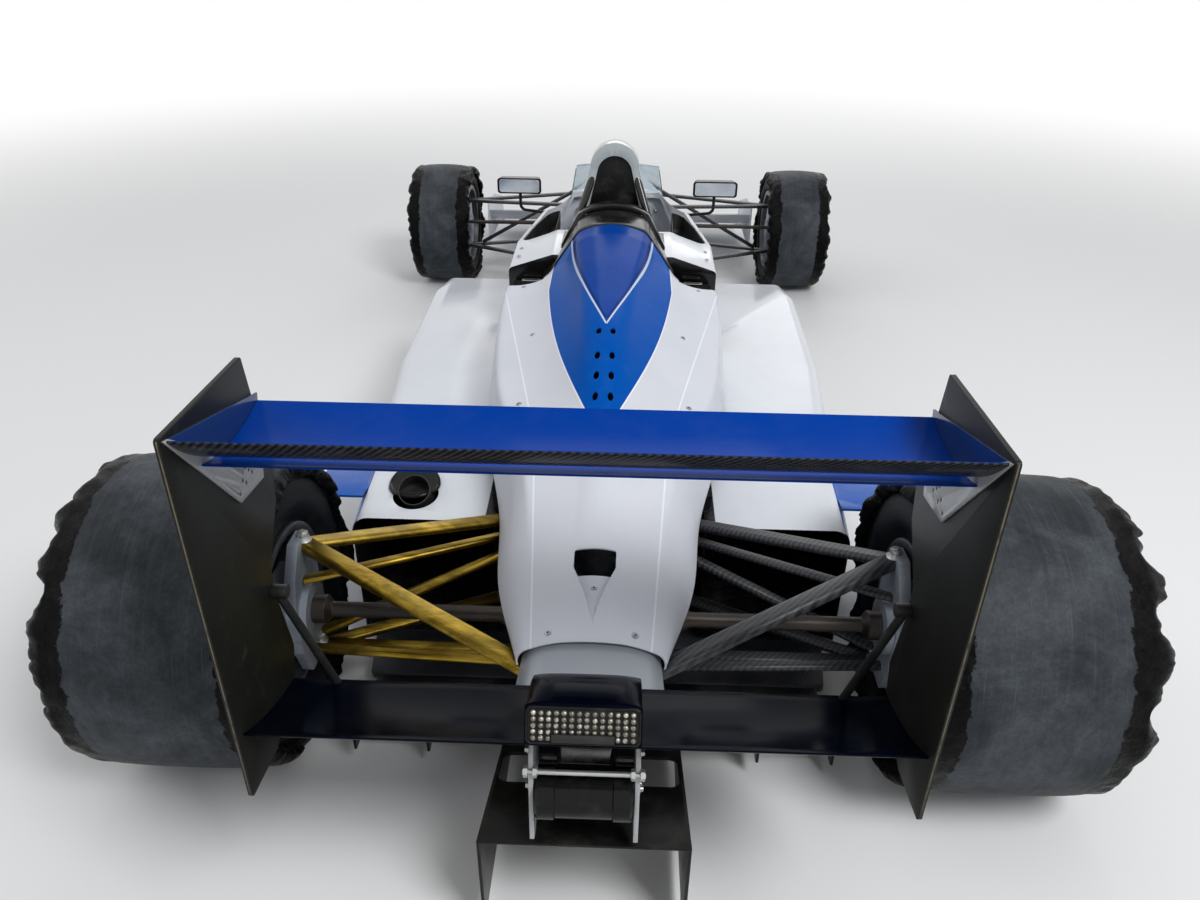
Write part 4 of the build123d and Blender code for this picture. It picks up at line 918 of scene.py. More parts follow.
def makeApron():
    # gloss black band over the dome's front that runs on under the hoop
    rows = []
    for k in range(34):
        at = apron["start"] + (apron["end"] - apron["start"]) * k / 33
        past = min(1.0, max(0.0, (at - 1.402) / 0.012))
        wide = (1 + apron["lift"] / 0.15) * (1 - (1 - apron["narrow"]) * past)
        lift = apron["lift"] * min(1.0, k / 2 + 0.15) - 0.006 * past - 0.10 * max(0.0, at - 1.414)
        rows.append([fromAxle(x * wide, at, z + lift) for x, z in domeSection(min(at, domeRows[1][0]))])
    shellPiece("collar_apron", rows, "gloss", apron["wall"], 0.0006)


# ahead, top z, half width, side z
hoodRows = ((-0.196, 0.441, 0.127, 0.390), (-0.240, 0.434, 0.130, 0.382), (-0.285, 0.423, 0.134, 0.372),
            (-0.325, 0.408, 0.137, 0.358))
hoodBow = ((0, 0), (0.45, 0.003), (0.70, 0.011), (0.86, 0.022))  # share of the half width, drop


def makeTailHood():
    # the panel that closes the cover's tail down to the lower wing
    rows = []
    for k in range(17):
        at = hoodRows[0][0] + (hoodRows[-1][0] - hoodRows[0][0]) * k / 16
        top, half, low = between([(-a, *rest) for a, *rest in hoodRows], -at)
        line = [(share * half, top - drop) for share, drop in hoodBow] + [(half, low)]
        line = eased(evenly(line, 30), 6)
        rows.append([fromAxle(x, at, z) for x, z in mirrored(line)])
    shellPiece("tail_hood", rows[::-1], "tailHood", 0.003, 0.0008)


makeCover()
makeApron()
makeTailHood()
print("engine cover made")


# end, axle, half track, tyre diameter, tyre width, rim width, ridge outside, ridge inside
axles = (("rear", rearAxle, 0.786, 0.634, 0.356, 0.330, 0.038, 0.028),
         ("front", frontAxle, 0.834, 0.548, 0.258, 0.240, 0.020, 0.020))
tyre = {"seatRadius": 0.165, "wall": 0.013, "turns": 420, "tearing": 1.15, "lumps": 0.006, "droop": 0.009}
tornWaves = ((1, 0.62), (2.3, 0.42), (5.2, 0.20), (12, 0.07))  # scale, share


def tyreSection(sign, half, outer, seat, ridge):
    # from the bead to the middle of the tread: along the axle, radius, share of pick-up, share of wall
    bead = tyre["seatRadius"] + 0.0003
    flange, middle = bead + 0.016, (bead + outer) / 2 + 0.002
    shoulder = outer - 0.16 * (outer - bead) - 0.022
    line = [(seat, bead, 0, 1)]
    line += [(x, r, 0, 1) for x, r in arc((seat, flange), (half - 0.001, middle), (half - 0.006, shoulder), 14)]
    lip = arc((half - 0.006, shoulder), (half + 0.4 * ridge, outer - 0.038), (half + ridge, outer - 0.022), 8)
    line += [(x, r, min(1.0, 0.25 + k / 5), 1) for k, (x, r) in enumerate(lip)]
    over = arc((half + ridge, outer - 0.022), (half + 0.55 * ridge, outer - 0.0095), (half - 0.008, outer - 0.005), 12)
    line += [(x, r, 1, 0) for x, r in over]
    edge = half - 0.062
    line += [(half - 0.008 - 0.054 * k / 9, outer - 0.005 + 0.002 * k / 9, min(1.0, 1.35 * (1 - k / 9)), 0)
             for k in range(10)]
    line += [(edge * (1 - k / 8), outer - 0.003 * (1 - k / 8) ** 2, 0, 0) for k in range(1, 8)]
    return [(sign * x, r, pickup, wall) for x, r, pickup, wall in line]


def makeTyre(end, axle, track, diameter, width, rimWidth, ridgeOut, ridgeIn, side, sign):
    outer, half, seat = diameter / 2, width / 2, rimWidth / 2 - 0.0083
    left = tyreSection(1, half, outer, seat, ridgeOut)
    right = tyreSection(-1, half, outer, seat, ridgeIn)
    line = left + [(0, outer, 0, 0)] + right[::-1]
    inner = ((seat - tyre["wall"], tyre["seatRadius"] + 0.0003), (half - 0.02, (tyre["seatRadius"] + outer) / 2),
             (half - 0.05, outer - 0.018))
    line += [(-x, r, 0, 1) for x, r in inner] + [(x, r, 0, 1) for x, r in inner[::-1]]
    seed = Vector((sign * 7.1, axle[0] * 3.0, 2.0))
    build = bmesh.new()
    marks = {name: build.verts.layers.float.new(name) for name in ("pickup", "wall")}
    uv = build.loops.layers.uv.new("wrap")
    rings, turns = [], tyre["turns"]
    for c, s in circle(turns):
        ring = []
        for x, radius, pickup, wall in line:
            if pickup > 0.01:
                where = Vector((1.5 if x > 0 else -1.5, c * 3.1, s * 3.1)) + seed
                torn = sum(noise.noise(where * scale) * share for scale, share in tornWaves)
                ridge = ridgeOut if x > 0 else ridgeIn
                proud = max(0.0, abs(x) - half + 0.010) / (ridge + 0.010)
                reach = min(1.0, max(0.08, 0.66 + torn * tyre["tearing"]))
                x = math.copysign(abs(x) - proud * (ridge + 0.004) * (1 - reach) * pickup, x)
                fine = noise.noise(Vector((x * 42, c * 30 * outer, s * 30 * outer)) + seed)
                rag = noise.noise(Vector((x * 22, c * 52 * outer, s * 52 * outer)) + seed)
                hang = 0.5 + 0.5 * noise.noise(where * 3.4 + seed)
                radius -= (0.5 + 0.5 * fine) * tyre["lumps"] * pickup + hang * tyre["droop"] * proud * pickup
                x -= math.copysign((0.5 + 0.5 * rag) * 0.004 * proud * pickup, x)
            elif not wall:
                radius -= (0.5 + 0.5 * noise.noise(Vector((x * 9, c * 4, s * 4)) + seed)) * 0.0006
            vert = build.verts.new((sign * (track + x), axle[0] + radius * c, axle[1] + radius * s))
            vert[marks["pickup"]], vert[marks["wall"]] = pickup, wall
            ring.append(vert)
        rings.append(ring)
    across = [0.0]
    for a, b in zip(line, line[1:] + line[:1]):
        across.append(across[-1] + math.dist(a[:2], b[:2]))
    for k in range(turns):
        first, second = rings[k], rings[(k + 1) % turns]
        for i in range(len(line)):
            j = (i + 1) % len(line)
            face = build.faces.new((first[i], first[j], second[j], second[i]))
            places = ((k, i), (k, i + 1), (k + 1, i + 1), (k + 1, i))
            for loop, (turn, step) in zip(face.loops, places):
                loop[uv].uv = (turn / turns * 2 * math.pi * outer, across[step])
    name = f"tyre_{end}_{side}"
    makePiece(name + "_skin", build, "rubber", 60, (name,), f"wheel_{end}_{side}")


for end in axles:
    for side in sides:
        makeTyre(*end, *side)
print("tyres made")


def along(outline):
    # outline of (ahead, height) turned into car coordinates
    return [(rearAxle[0] + a, z) for a, z in outline]


surround = {"pockets": ((0.198, 1.570), (0.300, 1.565), (0.312, 1.60), (0.284, 1.79), (0.250, 1.93), (0.205, 1.93)),
            "floor": 0.545, "top": 0.72, "edge": 0.004, "corner": 0.022, "lid": 0.655, "inner": 0.188,
            "fall": 0.34}


def makeSurround():
    # the cockpit surround with an open pocket beside the hoop on each side
    mesh, dissolve = mergedCopy("cockpit_surround")
    cutter = bmesh.new()
    for sign in (-1, 1):
        outline = [(sign * x, rearAxle[0] + a) for x, a in surround["pockets"]]
        slab(cutter, outline, "z", surround["floor"], surround["top"])
    done, pockets = cutBy(mesh, cutter, dissolve, bevelled(surround["edge"], 3, 40), bevelled(surround["corner"], 4))
    addPiece("cockpit_surround_skin", done, "pearl", 30, ("cockpit_surround",))
    lining = bmesh.new()
    lining.from_mesh(pockets)
    lids = [f for f in lining.faces if f.normal.z > 0.5 and f.calc_center_median().z > surround["top"] - 0.03]
    for face in lids:
        lining.faces.remove(face)
    # the lining's upper edge follows the surround, which falls outward and forwards
    for vert in lining.verts:
        x, a = abs(vert.co.x), vert.co.y - rearAxle[0]
        lid = surround["lid"] - (x - surround["inner"]) * surround["fall"] - max(0.0, a - 1.6) * 0.055
        if vert.co.z > 0.60:
            vert.co.z = lid - 0.006
    bmesh.ops.reverse_faces(lining, faces=lining.faces)
    shell = withModifiers(meshOf("pocketLining", lining), [("SOLIDIFY", {"thickness": 0.0015, "offset": 1.0})])
    addPiece("surround_pockets", shell, "black", 40)


def aerofoil(nose, tail, belly, crown, blunt, thin=0.003):
    # wing section from two arcs below its chord and a round nose
    chord = Vector(tail) - Vector(nose)
    down = Vector((chord.y, -chord.x)).normalized()
    down = -down if down.y > 0 else down
    middle = (Vector(nose) + Vector(tail)) / 2
    lowNose, lowTail = Vector(nose) + down * blunt, Vector(tail) + down * thin
    tip = (Vector(nose) + lowNose) / 2 - chord.normalized() * blunt * 0.4
    line = arc(lowNose, middle + down * belly, lowTail, 20) + [tuple(lowTail)]
    line += arc(tail, middle + down * crown, nose, 20)
    return line + arc(nose, tip, lowNose, 6)


# nose, tail, belly, crown and nose height of each plane
wing = {"main": ((-0.256, 0.930), (-0.452, 0.936), 0.030, 0.014, 0.012),
        "flap": ((-0.436, 0.948), (-0.517, 1.008), 0.010, 0.004, 0.008), "halfSpan": 0.497}


def makeWing():
    for plane, finish in (("main", "blue"), ("flap", "flap")):
        build = bmesh.new()
        slab(build, along(aerofoil(*wing[plane])), "x", -wing["halfSpan"], wing["halfSpan"])
        node = f"rear_wing_{plane}"
        bevelPiece(node + "_skin", build, finish, 0.0006, 2, (node,), 50)


lamp = {"half": 0.086, "foot": (-0.5145, 0.516), "head": (-0.4915, 0.5635), "columns": 14, "rows": 5,
        "pitch": (0.0112, 0.0094), "dome": 0.0043, "bar": (0.046, 0.0125), "board": (0.081, 0.0245, 0.006),
        "rim": (0.0825, 0.0262, 0.0075), "rimThick": 0.0018, "middleUp": 0.0265}
# ahead, z: the housing's outline from its foot round to its face
lampShell = ((-0.340, 0.436), (-0.350, 0.478), (-0.372, 0.516), (-0.402, 0.545), (-0.436, 0.563), (-0.466, 0.570),
             (-0.484, 0.568), lamp["head"], lamp["foot"], (-0.512, 0.511), (-0.428, 0.458))


def makeTree(name, finish, wanted, fill):
    # a node tree with named inputs, whose instances are realised and given their finish
    tree = bpy.data.node_groups.new(name, "GeometryNodeTree")
    tree.interface.new_socket("Geometry", in_out="INPUT", socket_type="NodeSocketGeometry")
    for label in wanted:
        kind = "NodeSocketInt" if label in ("Columns", "Rows") else "NodeSocketFloat"
        tree.interface.new_socket(label, in_out="INPUT", socket_type=kind)
    tree.interface.new_socket("Geometry", in_out="OUTPUT", socket_type="NodeSocketGeometry")
    maker = Maker(tree)
    source = maker.node("NodeGroupInput").socket.node.outputs
    inputs = fill(maker, *[Wire(maker, source[label]) for label in ("Geometry", *wanted)])
    placed = maker.node("GeometryNodeInstanceOnPoints", None, inputs)
    whole = maker.node("GeometryNodeRealizeInstances", None, {0: placed})
    inked = maker.node("GeometryNodeSetMaterial", None, {"Geometry": whole, "Material": finishes[finish]})
    maker.node("NodeGroupOutput", None, {0: inked})
    return tree


def domeGrid(maker, source, columns, rows, columnPitch, rowPitch, radius):
    # rows and columns of small domes on the ground plane
    across, upward = (columns - 1.0) * columnPitch, (rows - 1.0) * rowPitch
    grid = maker.node("GeometryNodeMeshGrid", None, {0: across, 1: upward, 2: columns, 3: rows})
    return {"Points": grid, "Instance": maker.node("GeometryNodeMeshUVSphere", None, {0: 10, 1: 8, 2: radius})}


def growNodes(tree, mesh, values):
    # the plain mesh that a node tree makes with these inputs
    holder = inScene("holder", mesh)
    added = holder.modifiers.new("grow", "NODES")
    added.node_group = tree
    for item in tree.interface.items_tree:
        if item.item_type == "SOCKET" and item.in_out == "INPUT" and item.name in values:
            added[item.identifier] = values[item.name]
    return settled(holder)


def makeLamp():
    build, rows, steps = bmesh.new(), [], 10
    for k in range(-steps, steps + 1):
        # the upper edge drops towards the sides, less so at the face
        drop = [0.022 * abs(k / steps) ** 5 * max(0.0, min(1.0, (z - 0.50) / 0.06)) for y, z in lampShell]
        rows.append([(lamp["half"] * k / steps, y, z - drop[i] * (0.3 if i in (6, 7) else 1))
                     for i, (y, z) in enumerate(along(lampShell))])
    solidStrip(build, rows)
    bevelPiece("rain_light_skin", build, "navy", 0.007, 4, ("rain_light",), 28)
    foot, head = fromAxle(0, *lamp["foot"]), fromAxle(0, *lamp["head"])
    leaning = (foot, (head - foot).normalized())
    board = roundedOutline(*lamp["board"], (0, lamp["middleUp"]))
    facePiece("rain_light_board", "gloss", leaning, board, -0.003, 0.0008, 0.0004)
    rim, ring = bmesh.new(), roundedOutline(*lamp["rim"], (0, lamp["middleUp"]))
    tube(rim, [onFace(leaning, x, up, 0.0012) for x, up in ring + ring[:2]], lamp["rimThick"], 8, False)
    makePiece("rain_light_rim", rim, "gloss", 60)
    bar = roundedOutline(lamp["bar"][0], lamp["bar"][1] / 2, 0.002, (0, 0.0085))
    facePiece("rain_light_bar", "black", leaning, bar, 0.0, 0.0062, 0.0012, 2)
    values = {"Columns": lamp["columns"], "Rows": lamp["rows"], "Column pitch": lamp["pitch"][0],
              "Row pitch": lamp["pitch"][1], "Dome radius": lamp["dome"]}
    domes = growNodes(makeTree("domeGrid", "lamp", list(values), domeGrid), bpy.data.meshes.new("lampSeed"), values)
    for vert in domes.vertices:
        x, up, out = vert.co
        vert.co = onFace(leaning, x, up + 0.0262, out * 0.8 + 0.0010)
    addPiece("rain_light_domes", domes, "lamp", 60)


def boltHeads(maker, points, radius, height, share):
    # socket-headed fasteners, each turned to its point's aim
    washer = maker.node("GeometryNodeMeshCylinder", None,
                        {"Vertices": 14, "Radius": radius * 1.35, "Depth": height * 0.3})
    head = maker.node("GeometryNodeMeshCone", None,
                      {"Vertices": 14, "Radius Top": radius * 0.8, "Radius Bottom": radius, "Depth": height})
    # the socket is a thin disc laid on the head and marked recess, which its finish paints dark as the hole's painted
    # shade
    hole = maker.node("GeometryNodeMeshCylinder", None,
                      {"Vertices": 6, "Radius": radius * share, "Depth": height * 0.1})
    lift = maker.node("ShaderNodeCombineXYZ", None, {2: height * 1.02})
    raised = maker.node("GeometryNodeTransform", None, {"Geometry": hole, "Translation": lift})
    dark = maker.node("GeometryNodeStoreNamedAttribute", {"data_type": "FLOAT", "domain": "POINT"},
                      {"Geometry": raised, "Name": "recess", "Value": 1.0})
    joined = maker.node("GeometryNodeJoinGeometry", None, {0: washer})
    for part in (head, dark):
        maker.tree.links.new(part.socket, joined.socket.node.inputs[0])
    aim = maker.node("GeometryNodeInputNamedAttribute", {"data_type": "FLOAT_VECTOR"}, {"Name": "aim"})
    turn = maker.node("FunctionNodeAlignRotationToVector", {"axis": "Z"}, {"Vector": aim})
    return {"Points": points, "Instance": joined, "Rotation": turn}


boltField = makeTree("boltField", "fastener", ("Head radius", "Head height", "Socket share"), boltHeads)


def makeBolts(name, places, radius, height, body="chassis"):
    # places are (point, direction)
    mesh = bpy.data.meshes.new(name)
    mesh.from_pydata([tuple(point) for point, aim in places], [], [])
    aims = mesh.attributes.new("aim", "FLOAT_VECTOR", "POINT")
    for i, (point, aim) in enumerate(places):
        aims.data[i].vector = Vector(aim).normalized()
    done = growNodes(boltField, mesh, {"Head radius": radius, "Head height": height, "Socket share": 0.5})
    addPiece(name, done, "fastener", 40, body=body)


def coverTop(x, ahead):
    # height of the cover's skin at a place, and its outward direction
    def height(side, at):
        section = coverSection(at)
        for (xa, za), (xb, zb) in zip(section, section[1:]):
            if xa <= side <= xb and xb > xa:
                return za + (zb - za) * (side - xa) / (xb - xa) - dimple(side, at)
        return section[-1][1]
    z, step = height(x, ahead), 0.004
    slopeX = (height(x + step, ahead) - height(x - step, ahead)) / (2 * step)
    slopeY = (height(x, ahead + step) - height(x, ahead - step)) / (2 * step)
    return fromAxle(x, ahead, z), Vector((-slopeX, -slopeY, 1)).normalized()


# name: head radius, head height, aim of the right-hand side, then x, ahead, z of each on both sides
fasteners = {
    "endplate_bolts": (0.0050, 0.0026, (1, 0, 0), ((0.507, -0.50, 0.995), (0.507, -0.40, 0.93), (0.507, -0.28, 0.925),
                                                   (0.507, -0.512, 0.52), (0.507, -0.33, 0.45), (0.507, -0.42, 0.47))),
    "bracket_bolts": (0.0062, 0.0055, (1, 0, 0), ((0.088, -0.345, 0.275), (0.088, -0.345, 0.375), (0.088, -0.45, 0.43),
                                                  (0.088, -0.46, 0.36), (0.088, -0.40, 0.30), (0.088, -0.372, 0.415))),
    "surround_fasteners": (0.0050, 0.0020, (0.34, 0, 1), ((0.305, 1.42, 0.6125), (0.305, 1.50, 0.6125))),
    "nose_fasteners": (0.0050, 0.0022, (0.9, 0, 0.5), ((0.160, 3.06, 0.36), (0.160, 3.12, 0.36))),
}
coverFasteners = ((-0.078, -0.200), (0.078, -0.200), (0.0, -0.094), (-0.262, 1.162), (0.262, 1.162),
                  (-0.20, 0.46), (-0.20, 0.80), (0.20, 0.46), (0.20, 0.80))


def makeFasteners():
    makeBolts("cover_fasteners", [coverTop(x, a) for x, a in coverFasteners], 0.0055, 0.0022)
    for name, (radius, height, (aimX, aimY, aimZ), places) in fasteners.items():
        both = [(fromAxle(sign * x, a, z), (sign * aimX, aimY, aimZ)) for sign in (-1, 1) for x, a, z in places]
        makeBolts(name, both, radius, height)


makeSurround()
makeWing()
makeLamp()
makeFasteners()
print("wing, lamp and fasteners made")


bracket = {"drum": (0.077, -0.460, 0.341, 0.040), "rod": (-0.470, 0.402, 0.0042), "rodHalf": 0.094,
           "nut": ((0, 0.0095), (0.0065, 0.0095), (0.0065, 0.006), (0.008, 0.006))}


def makeBracketParts():
    half, at, z, radius = bracket["drum"]
    build, rod, length = bmesh.new(), bmesh.new(), 2 * bracket["drum"][0]
    # from its end to its band: along, below the full radius
    step = ((0, radius - 0.010), (0, 0.004), (0.004, 0), (0.030, 0), (0.032, 0.003))
    profile = [(a, radius - low) for a, low in step] + [(length - a, radius - low) for a, low in step[::-1]]
    turned(build, fromAxle(-half, at, z), (1, 0, 0), profile, 40)
    makePiece("starter_drum", build, "gloss")
    at, z, radius = bracket["rod"]
    tube(rod, [fromAxle(-bracket["rodHalf"], at, z), fromAxle(bracket["rodHalf"], at, z)], radius, 16)
    for sign in (-1, 1):
        for x, way in ((0.088, sign), (0.080, -sign)):
            turned(rod, fromAxle(sign * x, at, z), (way, 0, 0), bracket["nut"], 6)
    makePiece("bracket_rod", rod, "bracket")


exhaustTip = {"middle": (-0.447, 0.385), "half": (0.056, 0.052), "lip": 0.0055, "deck": 0.3765,
              "humpHalf": 0.036, "humpTall": 0.032, "humpLong": 0.20}
# share of the lip's size, height against it: the bowl from its underside to its bottom
exhaustBowl = ((0.0, -0.0055), (1.0, -0.002), (1.0, 0.0), (0.93, 0.003), (0.86, 0.0015), (0.0, -0.004))


def makeExhaustTip():
    # the pipe's mouth through the left deck: a raised oval lip and a blister over the pipe ahead of it
    (x, a), (halfX, halfA), deck = exhaustTip["middle"], exhaustTip["half"], exhaustTip["deck"]
    lip, bowl, hump = bmesh.new(), bmesh.new(), bmesh.new()
    ring = [fromAxle(x + halfX * c, a + halfA * s, deck + 0.004 + 0.020 * max(0.0, s)) for c, s in circle(48)]
    tube(lip, ring + ring[:1], exhaustTip["lip"], 12, False)
    makePiece("exhaust_lip", lip, "gloss", 60)
    rows = []
    for share, depth in exhaustBowl:
        start, lift = fromAxle(x, a, deck), Vector((0, 0, depth if share == 1.0 else depth + 0.002))
        rows.append([start + (p - start) * max(share, 0.02) + lift for p in ring])
    solidStrip(bowl, rows)
    makePiece("exhaust_mouth", bowl, "soot", 60)
    rows = []
    for k in range(14):
        t = k / 13
        at = a + halfA * 0.75 + t * exhaustTip["humpLong"]
        wide = exhaustTip["humpHalf"] * (1 - 0.35 * t * t)
        tall = exhaustTip["humpTall"] * (1 - t) ** 0.6 + 0.0005
        foot = deck - 0.0032 + max(0.0, t - 0.05) * 0.012
        turns = [j * math.pi / 16 for j in range(17)]
        rows.append([fromAxle(x + wide * math.cos(turn), at, foot + tall * math.sin(turn)) for turn in turns])
    solidStrip(hump, rows)
    makePiece("exhaust_hump", hump, "gloss", 50)


mirror = {"x": 0.382, "ahead": 2.140, "z": 0.658, "glass": (0.078, 0.0245, 0.009)}


def makeMirrors():
    build = bmesh.new()
    y = rearAxle[0] + mirror["ahead"]
    for sign in (-1, 1):
        halfWide, halfHigh, radius = mirror["glass"]
        outline = roundedOutline(halfWide, halfHigh, radius, (sign * mirror["x"], mirror["z"]))
        slab(build, outline, "y", y - 0.0012, y + 0.002)
    bevelPiece("mirror_glass", build, "mirror", 0.0005)


hoopLiner = {"ahead": (1.508, 1.528), "foot": (0.104, 0.668), "bend": (0.0555, 0.872), "top": 0.914}


def makeHoopLiner():
    # black moulding that fills the hoop
    (bend, bendZ), (foot, footZ) = hoopLiner["bend"], hoopLiner["foot"]
    line = arc((bend, bendZ), (0, hoopLiner["top"]), (-bend, bendZ), 14)
    line += [(-bend, bendZ), (-foot, footZ), (foot, footZ)]
    build = bmesh.new()
    start, end = [rearAxle[0] + a for a in hoopLiner["ahead"]]
    slab(build, line, "y", start, end)
    bevelPiece("hoop_liner", build, "gloss", 0.004, 3, angle=40)


tunnel = {"window": (-0.298, -0.198), "half": 0.169, "heights": (0.05, 0.26)}


def makeDiffuser():
    # the roof stops ahead of its open window, between the fences
    mesh, dissolve = mergedCopy("diffuser")
    cutter = bmesh.new()
    back, front = [rearAxle[0] + a for a in tunnel["window"]]
    window = roundedOutline(tunnel["half"], (front - back) / 2, 0.018, (0, (front + back) / 2))
    slab(cutter, window, "z", *tunnel["heights"])
    done = cutBy(mesh, cutter, dissolve, bevelled(0.0012, 2, 32))[0]
    addPiece("diffuser_skin", done, "plate", 30, ("diffuser",))


recess = {"ahead": (1.192, 1.338), "x": (0.225, 0.312), "z": (0.42, 0.560), "lid": 0.006, "plate": (0.2560, 1.322),
          "plateSize": (0.030, 0.0085, 0.004), "plateZ": (0.5640, 0.5668),
          "slotSize": (0.021, 0.0032, 0.0030), "slotZ": (0.5660, 0.5672)}


def makeRecessBoxes():
    # dark housings between the cover's shoulders and the cockpit surround
    build, labels, slots = bmesh.new(), bmesh.new(), bmesh.new()
    (a, b), (x, xEnd), (low, high) = recess["ahead"], recess["x"], recess["z"]
    half, y = (xEnd - x) / 2, rearAxle[0] + (a + b) / 2
    for sign in (-1, 1):
        middle, plate = (sign * (x + xEnd) / 2, y), (sign * recess["plate"][0], rearAxle[0] + recess["plate"][1])
        slab(build, roundedOutline(half, (b - a) / 2, 0.012, middle), "z", low, high)
        slab(build, roundedOutline(half * 0.72, 0.030, 0.006, middle), "z", high, high + recess["lid"])
        slab(labels, roundedOutline(*recess["plateSize"], plate), "z", *recess["plateZ"])
        slab(slots, roundedOutline(*recess["slotSize"], plate), "z", *recess["slotZ"])
    bevelPiece("recess_boxes", build, "gloss", 0.0027, 3)
    bevelPiece("recess_plates", labels, "bracket", 0.0005)
    makePiece("recess_slots", slots, "gloss", 40)


makeBracketParts()
makeExhaustTip()
makeMirrors()
makeHoopLiner()
makeDiffuser()
makeRecessBoxes()
print("tail, hoop and recess details made")


grip = {"ahead": 2.130, "z": 0.552, "lean": 18.0, "face": 0.013, "plate": (0.070, 0.034, 0.010),
        "screen": (0.026, 0.011, 0.002), "screenUp": 0.018, "boltRing": 0.0125,
        "stitches": 16, "stitchPitch": 0.0062, "stitchX": (0.1035, 0.1085, 0.1135), "knobX": 0.050,
        "knobs": {"red": 0.019, "yellow": 0.0, "blueKnob": -0.019},
        "knob": ((0, 0.0075), (0.004, 0.0075), (0.004, 0.0055), (0.0075, 0.0055), (0.0085, 0.0042)),
        "hub": ((0, 0.017), (0.006, 0.017), (0.008, 0.015), (0.008, 0.007), (0.004, 0.007)), "hubUp": -0.012}


def makeGripDetails():
    # the plate, buttons, screen and hub on the driver's side of the steering wheel
    lean = math.radians(grip["lean"])
    face = (fromAxle(0, grip["ahead"], grip["z"]), Vector((0, math.sin(lean), math.cos(lean))))
    out, low, body = grip["face"], grip["hubUp"], "steering_column"
    aim = Vector((0, -face[1].z, face[1].y))
    plate, screen = roundedOutline(*grip["plate"]), roundedOutline(*grip["screen"], (0, grip["screenUp"]))
    hub, seams = bmesh.new(), bmesh.new()
    facePiece("grip_plate", "plateCarbon", face, plate, out - 0.002, out + 0.0025, 0.0008, 2, body)
    facePiece("grip_screen", "gloss", face, screen, out + 0.001, out + 0.0045, 0.0005, 1, body)
    for key, up in grip["knobs"].items():
        knobs = bmesh.new()
        for sign in (-1, 1):
            turned(knobs, onFace(face, sign * grip["knobX"], up, out), aim, grip["knob"], 20)
        makePiece("grip_buttons_" + key, knobs, key, 30, body=body)
    turned(hub, onFace(face, 0, low, out), aim, grip["hub"], 32)
    makePiece("grip_hub", hub, "bracket", 30, body=body)
    ring = grip["boltRing"]
    places = [(onFace(face, ring * c, low + ring * s, out + 0.008), aim) for c, s in circle(6)]
    makeBolts("grip_bolts", places, 0.0022, 0.0016, body)
    for sign in (-1, 1):
        for k in range(grip["stitches"]):
            up = (k - (grip["stitches"] - 1) / 2) * grip["stitchPitch"]
            stitch = zip(grip["stitchX"], (up, up + 0.0022, up), (-0.0002, 0.0006, -0.0002))
            tube(seams, [onFace(face, sign * x, high, out + proud) for x, high, proud in stitch], 0.0006, 6)
    makePiece("grip_stitches", seams, "thread", 60, body=body)


dash = {"ahead": (2.264, 2.292), "z": 0.553, "half": (0.066, 0.026), "screen": (0.054, 0.017, 0.003),
        "lights": 9, "lightPitch": 0.0105, "lightUp": 0.0195, "switches": 3, "switchX": 0.098, "switchPitch": 0.030,
        "light": ((0, 0.0030), (0.0010, 0.0028), (0.0022, 0.0014)),
        "collar": ((0, 0.0080), (0.0020, 0.0080), (0.0020, 0.0055), (0.0060, 0.0050)),
        "lever": ((0, 0.0022), (0.014, 0.0032), (0.016, 0.0026))}


def makeDash():
    # the display box with its lights, and three toggle switches on each side
    build, screen, lights, switches = bmesh.new(), bmesh.new(), bmesh.new(), bmesh.new()
    start, end = [rearAxle[0] + a for a in dash["ahead"]]
    slab(build, roundedOutline(*dash["half"], 0.008, (0, dash["z"])), "y", start, end)
    bevelPiece("dash_box", build, "black", 0.002, 2)
    slab(screen, roundedOutline(*dash["screen"], (0, dash["z"] - 0.003)), "y", start - 0.0012, start + 0.002)
    bevelPiece("dash_screen", screen, "display", 0.0004)
    for k in range(dash["lights"]):
        x = dash["lightPitch"] * (k - (dash["lights"] - 1) / 2)
        turned(lights, (x, start, dash["z"] + dash["lightUp"]), (0, -1, 0), dash["light"], 12)
    makePiece("dash_lights", lights, "red", 60)
    for sign in (-1, 1):
        for k in range(dash["switches"]):
            x = dash["switchX"] + dash["switchPitch"] * k
            spot = Vector((sign * x, start + 0.020, dash["z"] - 0.010 * k))
            turned(switches, spot, (0, -1, 0), dash["collar"], 16)
            turned(switches, spot + Vector((0, -0.006, 0)), (0, -1, 0.45), dash["lever"], 12)
    makePiece("dash_switches", switches, "bracket")


def ribbon(build, path, width, thick, across=(1, 0, 0)):
    # flat webbing along a line of points
    rows, points, wide = [], [Vector(p) for p in path], Vector(across)
    for i, point in enumerate(points):
        ahead = (points[min(i + 1, len(points) - 1)] - points[max(i - 1, 0)]).normalized()
        side = (wide - ahead * wide.dot(ahead)).normalized()
        out = side.cross(ahead)
        edge = [(-1, -1), (-0.9, -1.3), (0.9, -1.3), (1, -1), (1, 1), (0.9, 1.3), (-0.9, 1.3), (-1, 1)]
        rows.append([point + side * a * width / 2 + out * b * thick / 2 for a, b in edge])
    solidStrip(build, rows)


def smoothLine(points, cuts=6):
    # a line through all its points, curved between them
    rows = [(k, *p) for k, p in enumerate(points)]
    steps = [k / cuts for k in range(cuts * (len(points) - 1) + 1)]
    return [tuple(between(rows, min(s, len(points) - 1 - 1e-6))) for s in steps]


